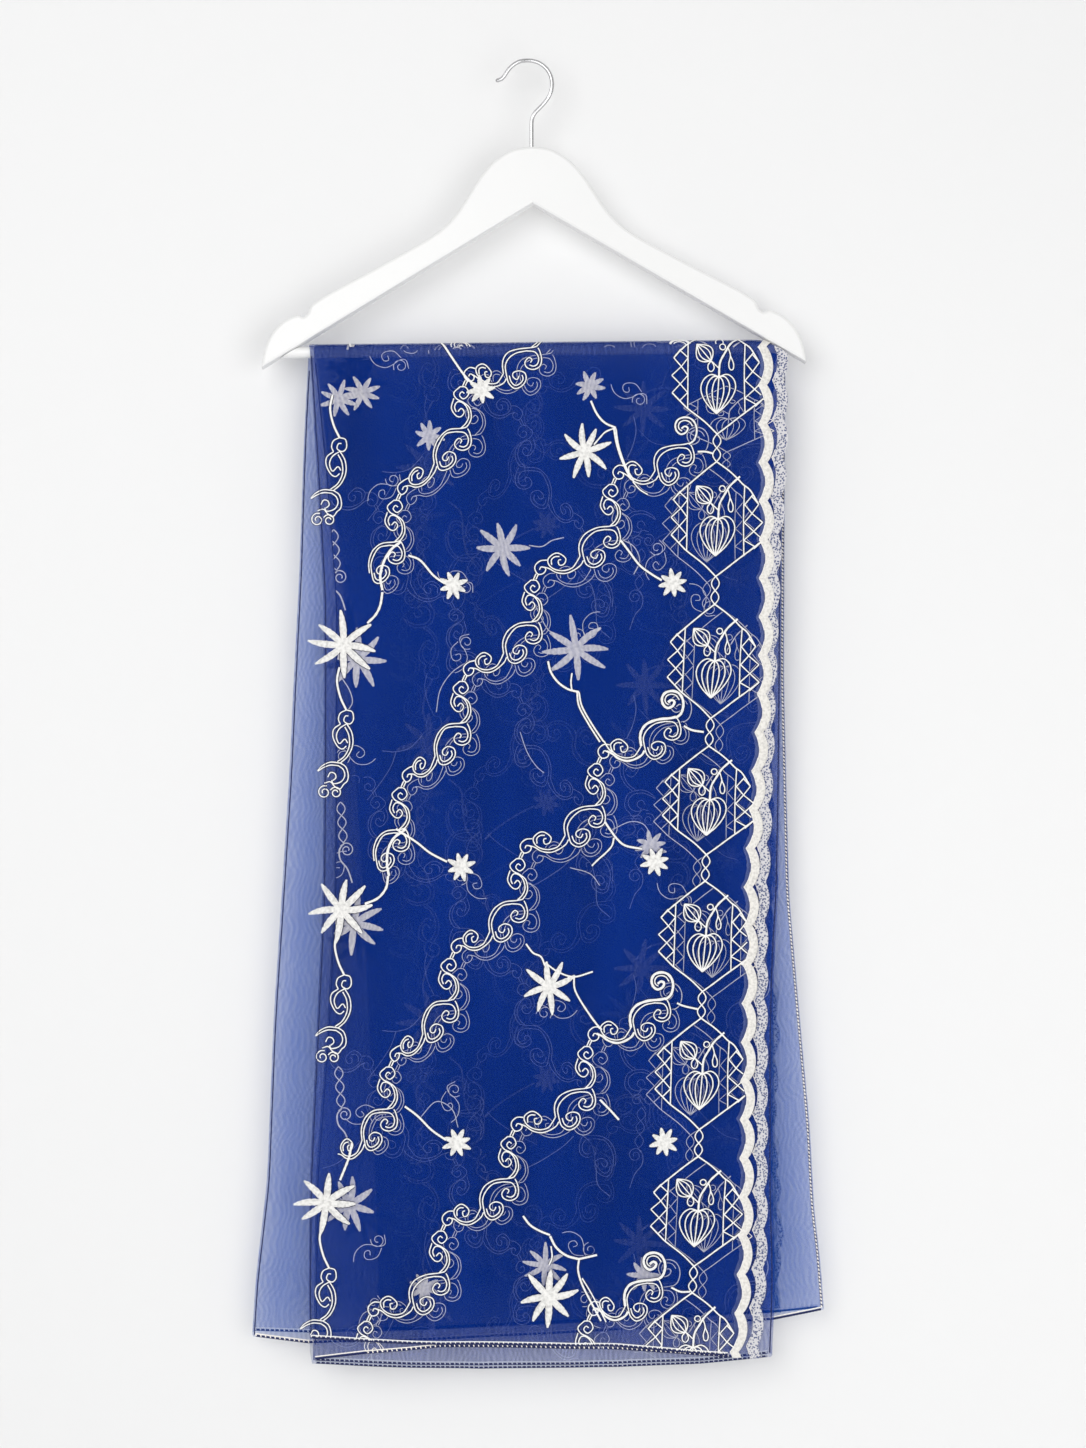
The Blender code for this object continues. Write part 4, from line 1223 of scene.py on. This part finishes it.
def fold_line(w, line, run0, run1, inward, width=1.0, dashes=False, back=False):
    """Dark line of a pressed fold or edge, with small stitches where `dashes`."""
    rs = np.arange(run0, run1, 3.0)
    zs = bar_z(0.0) - (rs if not back else -rs - arc_len(w.layer))
    xs = line(zs) + inward
    w.slot = 2
    w.cord(np.stack([xs, rs], -1), width, curve=False)
    w.slot = 0
    if dashes:
        near = 0.10 * math.copysign(1.0, w.lift)
        w.lift += near
        for k in range(0, len(rs) - 1):
            if dashes == "fine" and k % 2:
                continue
            w.cord([(xs[k] - 0.3 * np.sign(inward), rs[k]),
                    (xs[k] + 0.5 * np.sign(inward), rs[k] + 1.9)], 0.95, curve=False)
        w.lift -= near


def front_inside(layer):
    l, r, h = FRONT[layer]

    def test(x, run):
        z = bar_z(x) - run
        lo = np.where(run >= -0.01, l(z), -400.0)
        hi = np.where(run >= -0.01, r(z), 400.0)
        deep = np.where(run >= 0, z > h(x) + 0.5, True)
        return (x > lo + 0.3) & (x < hi - 0.3) & deep & (run > -0.01)
    return test


def back_inside(layer):
    l, r, h = BACK[layer]

    def test(x, run):
        z = bar_z(x) + run + arc_len(layer)
        return (x > l(z) + 0.3) & (x < r(z) - 0.3) & (z > h(x) + 0.5) & (run < 0.01)
    return test


# ================================================================== build
# the last colour is the painted backlight of the back drop's strips
stole_mat = organza("blue_organza", 0.305, (0.0, 0.032, 0.275), (0.965, 0.978, 1.0),
                    (0.0, 0.088, 0.465))
thread_1 = thread("ivory_thread", (0.88, 0.87, 0.845))
# thread_2 and satin_2 copy the ivory and satin threads painted lighter and warmer: painted light that offsets the
# blue shade of the cloth above them
thread_2 = thread("ivory_thread_under_painted_light", (0.93, 0.88, 0.80))
# thread_3 copies the ivory thread painted dark and bluish: painted shade on the deep layers 3 and 4
thread_3 = thread("ivory_thread_deep_painted_shade", (0.40, 0.43, 0.54))
satin = thread("satin_star_thread", (0.83, 0.82, 0.795), scale=430.0, bump_by=1.0, low=0.66)
# painted light: the satin copied lighter and warmer for the layers underneath
satin_2 = thread("satin_star_thread_under_painted_light", (0.96, 0.90, 0.81), scale=430.0, bump_by=0.8,
                 low=0.72)
edge_thread = thread("blue_edge_thread", (0.003, 0.010, 0.075), sheen=0.0)
trim_mat = thread("scallop_thread", (0.78, 0.757, 0.715), scale=520.0, bump_by=0.9, low=0.70)
hem_mat = thread("overlock_thread", (0.80, 0.82, 0.86), scale=1200.0)

stole = build_stole(stole_mat)

# --- layer 1, front face: chains, stars and cartouches at their own places
w1 = Work(1, 0.12, True, 1.15)


def front_pt(p):
    return to_run(p)


free_inside = front_inside(1)


def f1_inside(x, run):
    """Front face of layer 1, the satin petals may reach past the left fold."""
    z = bar_z(x) - run
    return (z > FRONT[1][2](x) + 0.5) & (x < FRONT[1][1](z) - 0.3) & (run > -arc_len(1) * 0.5)


w1.inside = f1_inside
# pk holds dark bands beside layer 1's cords: painted shadow of the raised cords, partly puckering
pk = Work(1, 0.05, False, 1.15)
w1.pucker_shadow = pk
for chain, hooked in ((CHAIN_A, False), (CHAIN_B, True), (CHAIN_C, True), (CHAIN_D, True),
                      (CHAIN_E, True)):
    pts = [to_run(p) for p in chain]
    for k in range(len(pts)):
        if k + 1 < len(pts):
            nxt = pts[k + 1]
        else:
            nxt = (pts[k][0] - 60 * STEP, pts[k][1] + 100 * STEP)
        full_left = k == len(pts) - 1 and chain is not CHAIN_E
        if full_left and chain in (CHAIN_C, CHAIN_D):
            full_left = "arm"
        chain_unit(w1, pts[k], nxt, 1.0, first=(hooked and k == 0), last=full_left,
                   thick=(hooked and k == 0 and chain is not CHAIN_B))
for p in SMALL_STARS:
    star(w1, to_run(p), 14.4, width=5.8, turn=0.24 + p[0] * 0.01, core=3.6, bend=0.03)
for p, reach, turn in LARGE_STARS:
    star(w1, to_run(p), reach, width=7.4 if reach > 28 else 6.6, turn=turn, core=6.6, bend=0.12)
w2 = Work(2, 0.06, False, 1.4)
w2.inside = front_inside(2)
w2.thin = 0.8
for p, reach, turn in LARGE_STARS[:3]:
    column(w1, to_run(p), low=w2)
column(w1, to_run((-155.8, -254.3)), low=w2)
tops = [to_run(p) for p in BORDER]
cartouche(w1, (tops[0][0], tops[0][1] - 60 * STEP), tops[1])
for a, b in zip(tops[1:], tops[2:]):
    cartouche(w1, a, b)
for width, pts in STEMS:
    w1.cord([to_run(p) for p in pts], width * STEP * 1.05)
A_PITCH, A_PHASE = 31.4, 0.0
w1.pucker_shadow = None
trim_cord(w1, lambda r: float(edge_a(bar_z(190.0) - r)), A_PITCH, A_PHASE, 7.2, 5.4,
          (0.0, 822.0), 0.7)
overlock(w1, FRONT[1][2], -176.0, 163.0, 1)
w1.inside = front_inside(1)
fold_line(w1, left_1, 4.0, 800.0, 0.55, 0.9)
emb_1 = w1.build("embroidery_layer_1", [thread_1, satin, edge_thread])
# dark bands beside the cords: painted cord shadow, partly puckering of the cloth
pucker_shadows = pk.build("pucker_shadows_layer_1", shade_mat("painted_cord_shadow_organza", (0.001, 0.005, 0.038), 0.72))

# --- layer 1, over the bar and down the back
w1k = Work(1, 0.12, True, 1.5)
w1k.inside = lambda x, run: (run < -2.0) & ((run > -arc_len(1)) | back_inside(1)(x, run))
periodic(w1k, (-860.0, 0.0), 1.0, 1.0, axis=lambda r: float(edge_k(bar_z(190) + r + 21)) - 39.0,
         shift=(0.0, 12.0), seed=5)
overlock(w1k, BACK[1][2], -224.0, 199.0, -1)
inner = Work(1, -0.06, False, 1.9)
inner.inside = back_inside(1)
overlock(inner, BACK[1][2], -224.0, 199.0, -1)
hem_1k = inner.build("hem_stitches_layer_1_back", [thread_1, satin, edge_thread])
emb_1k = w1k.build("embroidery_layer_1_back", [thread_1, satin, edge_thread])

# --- the layers underneath, on the front drop
under = []
w = w2
w.thin = 0.52
rnd = random.Random(5)
for chain, hooked, (ox, oz) in ((CHAIN_A, False, (10, -8)), (CHAIN_B, True, (7, -9)),
                                (CHAIN_C, True, (8, -6)), (CHAIN_D, True, (9, -7)),
                                (CHAIN_E, True, (11, -9))):
    pts = [to_run((p[0] + ox + rnd.uniform(-3, 3), p[1] + oz + rnd.uniform(-3, 3)))
           for p in chain]
    for k in range(len(pts)):
        nxt = pts[k + 1] if k + 1 < len(pts) else (pts[k][0] - 55 * STEP, pts[k][1] + 96 * STEP)
        chain_unit(w, pts[k], nxt, 1.0, first=(hooked and k == 0), last=(k == len(pts) - 1))
w.thin = 1.0
for p, reach, turn in GHOST_STARS:
    star(w, to_run(p), reach, width=7.2 if reach > 22 else 5.6, turn=turn,
         core=6.2 if reach > 22 else 3.6, bend=0.12)
w.thin = 0.52
for k, (a, b) in enumerate(zip(BORDER, BORDER[1:])):
    ox, oz = ((8.0, -5.0), (-7.0, -5.0))[k % 2]
    cartouche(w, to_run((a[0] + ox, a[1] + oz)), to_run((b[0] + ox, b[1] + oz)))
for width, pts in GHOST_STEMS:
    w.cord([to_run(p) for p in pts], width * STEP)
for p in GHOST_CURLS:
    c = to_run(p)
    turn = rnd.uniform(-2.6, 2.6)
    hand = rnd.choice((-1, 1))
    w.cord(place(PAIR_OUT, c, 1.0, hand, turn), CORD * STEP)
    w.cord(place(PAIR_LOW, c, 1.0, hand, turn), CORD * STEP)
    w.cord(place(spiral((-6, -33), 7.5, 2.0, 0.6, 1.3), c, 1.0, hand, turn), CORD * STEP)
w.thin = 1.0
overlock(w, FRONT[2][2], -173.0, 173.0, 1)
fold_line(w, left_2, 10.0, 810.0, 0.6, 0.8)
B_PHASE = A_PHASE + 4.0
trim_cord(w, lambda r: float(edge_b(bar_z(190.0) - r)) + 2.2, A_PITCH, B_PHASE, 8.6, 4.2,
          (0.0, 820.0), 0.8)
# thread_2 and satin_2: threads painted lighter and warmer, as painted light
under.append(w.build("embroidery_layer_2", [thread_2, satin_2, edge_thread]))
for layer, seed, mir, shift in ((3, 22, -1.0, (8.0, 96.0)), (4, 23, 1.0, (14.0, 76.0))):
    w = Work(layer, 0.06, False, 1.6)
    w.inside = front_inside(layer)
    w.thin = 0.36
    w.whole = True
    line = (lambda r: -208.0) if mir < 0 else (lambda r: 206.0)
    periodic(w, (-20.0, 830.0), mir, 1.0, axis=line, shift=shift, seed=seed, border=False,
             stars=False)
    if layer == 3:
        # soft echo of the strips beside the front one
        rs = np.arange(2.0, 818.0, 2.0)
        w.thin = 1.0
        w.cord([(float(edge_a(bar_z(190.0) - r)) - 5.6 + scallop(r, 31.4, 0.0, 4.6), r)
                for r in rs], 5.2, curve=False)
    w.thin = 1.0
    w.whole = False
    overlock(w, FRONT[layer][2], -173.0, 195.0, 1)
    fold_line(w, right_f, 6.0, 822.0, -0.8, 1.0, dashes="fine" if layer == 4 else False)
    # thread_3: thread painted dark and bluish, as painted shade
    under.append(w.build("embroidery_layer_%d" % layer, [thread_3, satin_2, edge_thread]))
for layer, seed in ((2, 31), (3, 32), (4, 33)):
    w = Work(layer, 0.06, False, 1.9)
    w.inside = back_inside(layer)
    if layer == 2:
        ax = lambda r: float(edge_k(bar_z(190) + r + 21)) - 39.0
        periodic(w, (-860.0, 0.0), 1.0, 1.0, axis=ax, shift=(0.0, 30.0), seed=seed)
    else:
        ax = lambda r, k=layer: 170.0 + 12.0 * k
        periodic(w, (-860.0, 0.0), 1.0, 1.0, axis=ax, shift=(0.0, 44.0 * layer), seed=seed,
                 border=False)
    hem = BACK[layer][2]
    if layer == 4:
        # the stitches of folds and end that face the front drop
        inner = Work(4, -0.06, False, 1.9)
        inner.inside = w.inside
        fold_line(inner, right_k, -826.0, -30.0, -1.0, 1.6, dashes="close", back=True)
        fold_line(inner, left_k, -826.0, -30.0, 0.7, 1.0, back=True)
        overlock(inner, BACK[4][2], -223.0, 240.0, -1)
        under.append(inner.build("hem_stitches_layer_4_back", [thread_2, satin_2, edge_thread]))
    overlock(w, hem, {2: -118.0, 3: -118.0, 4: -223.0}[layer],
             {2: 199.0, 3: 238.0, 4: 240.0}[layer], -1)
    # thread_2 and satin_2: threads painted lighter and warmer, as painted light
    under.append(w.build("embroidery_layer_%d_back" % layer, [thread_2, satin_2, edge_thread]))

net_mat = netted("scallop_reverse", (0.64, 0.63, 0.65), (0.07, 0.09, 0.20), 0.95, 620.0)
trim_a = build_trim("trim_edge_a", 1, edge_a, edge_k, FRONT[1][2], BACK[1][2],
                    [trim_mat, trim_mat], phase=A_PHASE)
trim_b = build_trim("trim_edge_b", 2, lambda z: edge_b(z) + 2.2, lambda z: edge_k(z) + 2.0,
                    FRONT[2][2], BACK[2][2], [net_mat, net_mat], phase=A_PHASE + 4.0,
                    bulge=4.2, width=8.6)

# ------------------------------------------------------------- frame's share
for o in [stole, emb_1, emb_1k, hem_1k, pucker_shadows, trim_a, trim_b] + under:
    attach(o, "root")
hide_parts("front_outer", "front_second", "front_inner_fold", "over_bar_inner",
            "over_bar_second", "over_bar_outer", "back_inner_fold", "back_second", "back_outer")
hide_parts("trim_front_outer", "trim_back_outer")
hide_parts("trim_front_second", "trim_back_second")

for node, mat in (("hanger_body", paint("hanger_paint")), ("trouser_bar", paint("bar_paint")),
                  ("hook", steel("hook_steel"))):
    for s in nodes[node].material_slots:
        s.material = mat

# --------------------------------------------------------------------- stage
def stage_mat(name, colour, rough=0.9, see_back=False):
    mat = bpy.data.materials.new(name)
    nt, out = nodes_of(mat)
    N, L = nt.nodes, nt.links
    p = N.new("ShaderNodeBsdfPrincipled")
    p.inputs["Base Color"].default_value = (*colour, 1)
    p.inputs["Roughness"].default_value = rough
    p.inputs["Specular IOR Level"].default_value = 0.1
    if see_back:
        geo = N.new("ShaderNodeNewGeometry")
        tr = N.new("ShaderNodeBsdfTransparent")
        mix = N.new("ShaderNodeMixShader")
        # open to a view from behind and to the lamp there
        path = N.new("ShaderNodeLightPath")
        either = N.new("ShaderNodeMath")
        either.operation = "MAXIMUM"
        L.new(geo.outputs["Backfacing"], either.inputs[0])
        L.new(path.outputs["Is Shadow Ray"], either.inputs[1])
        L.new(either.outputs[0], mix.inputs["Fac"])
        L.new(p.outputs[0], mix.inputs[1])
        L.new(tr.outputs[0], mix.inputs[2])
        L.new(mix.outputs[0], out.inputs["Surface"])
    else:
        L.new(p.outputs[0], out.inputs["Surface"])
    return mat


def plane(name, corners, mat):
    me = bpy.data.meshes.new(name)
    me.from_pydata([Vector(c) for c in corners], [], [(0, 1, 2, 3)])
    me.materials.append(mat)
    o = bpy.data.objects.new(name, me)
    bpy.context.scene.collection.objects.link(o)
    return o


wall_mat = stage_mat("wall_paint", (0.80, 0.80, 0.80), see_back=True)
wall = plane("wall", [(-3, 0.030, -1.9), (3, 0.030, -1.9), (3, 0.030, 1.6), (-3, 0.030, 1.6)], wall_mat)
floor = plane("floor", [(-3, -3.0, -1.9), (3, -3.0, -1.9), (3, 3.0, -1.9), (-3, 3.0, -1.9)],
              stage_mat("floor_paint", (0.76, 0.76, 0.76)))

scene = bpy.context.scene
world = bpy.data.worlds.new("studio")
scene.world = world
world.use_nodes = True
bg = world.node_tree.nodes["Background"]
bg.inputs["Color"].default_value = (1.0, 1.0, 1.0, 1)
bg.inputs["Strength"].default_value = 0.475


def area(name, at, to, size, power):
    data = bpy.data.lights.new(name, "AREA")
    data.shape = "RECTANGLE"
    data.size, data.size_y = size
    data.energy = power
    o = bpy.data.objects.new(name, data)
    o.location = at
    o.rotation_euler = (Vector(to) - Vector(at)).to_track_quat("-Z", "Y").to_euler()
    scene.collection.objects.link(o)
    return o


area("key", (-0.9, -2.4, 0.15), (0.0, 0.0, -0.55), (1.8, 2.2), 33.6)
area("back", (0.5, 2.6, 0.2), (0.0, 0.0, -0.6), (1.8, 2.2), 34.0)
area("fill", (1.1, -2.2, -0.95), (0.0, 0.0, -0.9), (1.6, 2.2), 24.0)

cam = bpy.data.cameras.new("camera")
cam.lens = 36.0 * 2100.0 / 1182.3
cam.sensor_width = 36.0
cam.clip_start, cam.clip_end = 0.05, 30.0
cam_obj = bpy.data.objects.new("camera", cam)
cam_obj.location = (0.01225, -2.1, -0.5401)
cam_obj.rotation_euler = (math.radians(90), 0, 0)
scene.collection.objects.link(cam_obj)
scene.camera = cam_obj
scene.view_settings.view_transform = "Standard"
if hasattr(scene, "cycles") and hasattr(scene.cycles, "transparent_max_bounces"):
    scene.cycles.transparent_max_bounces = 28
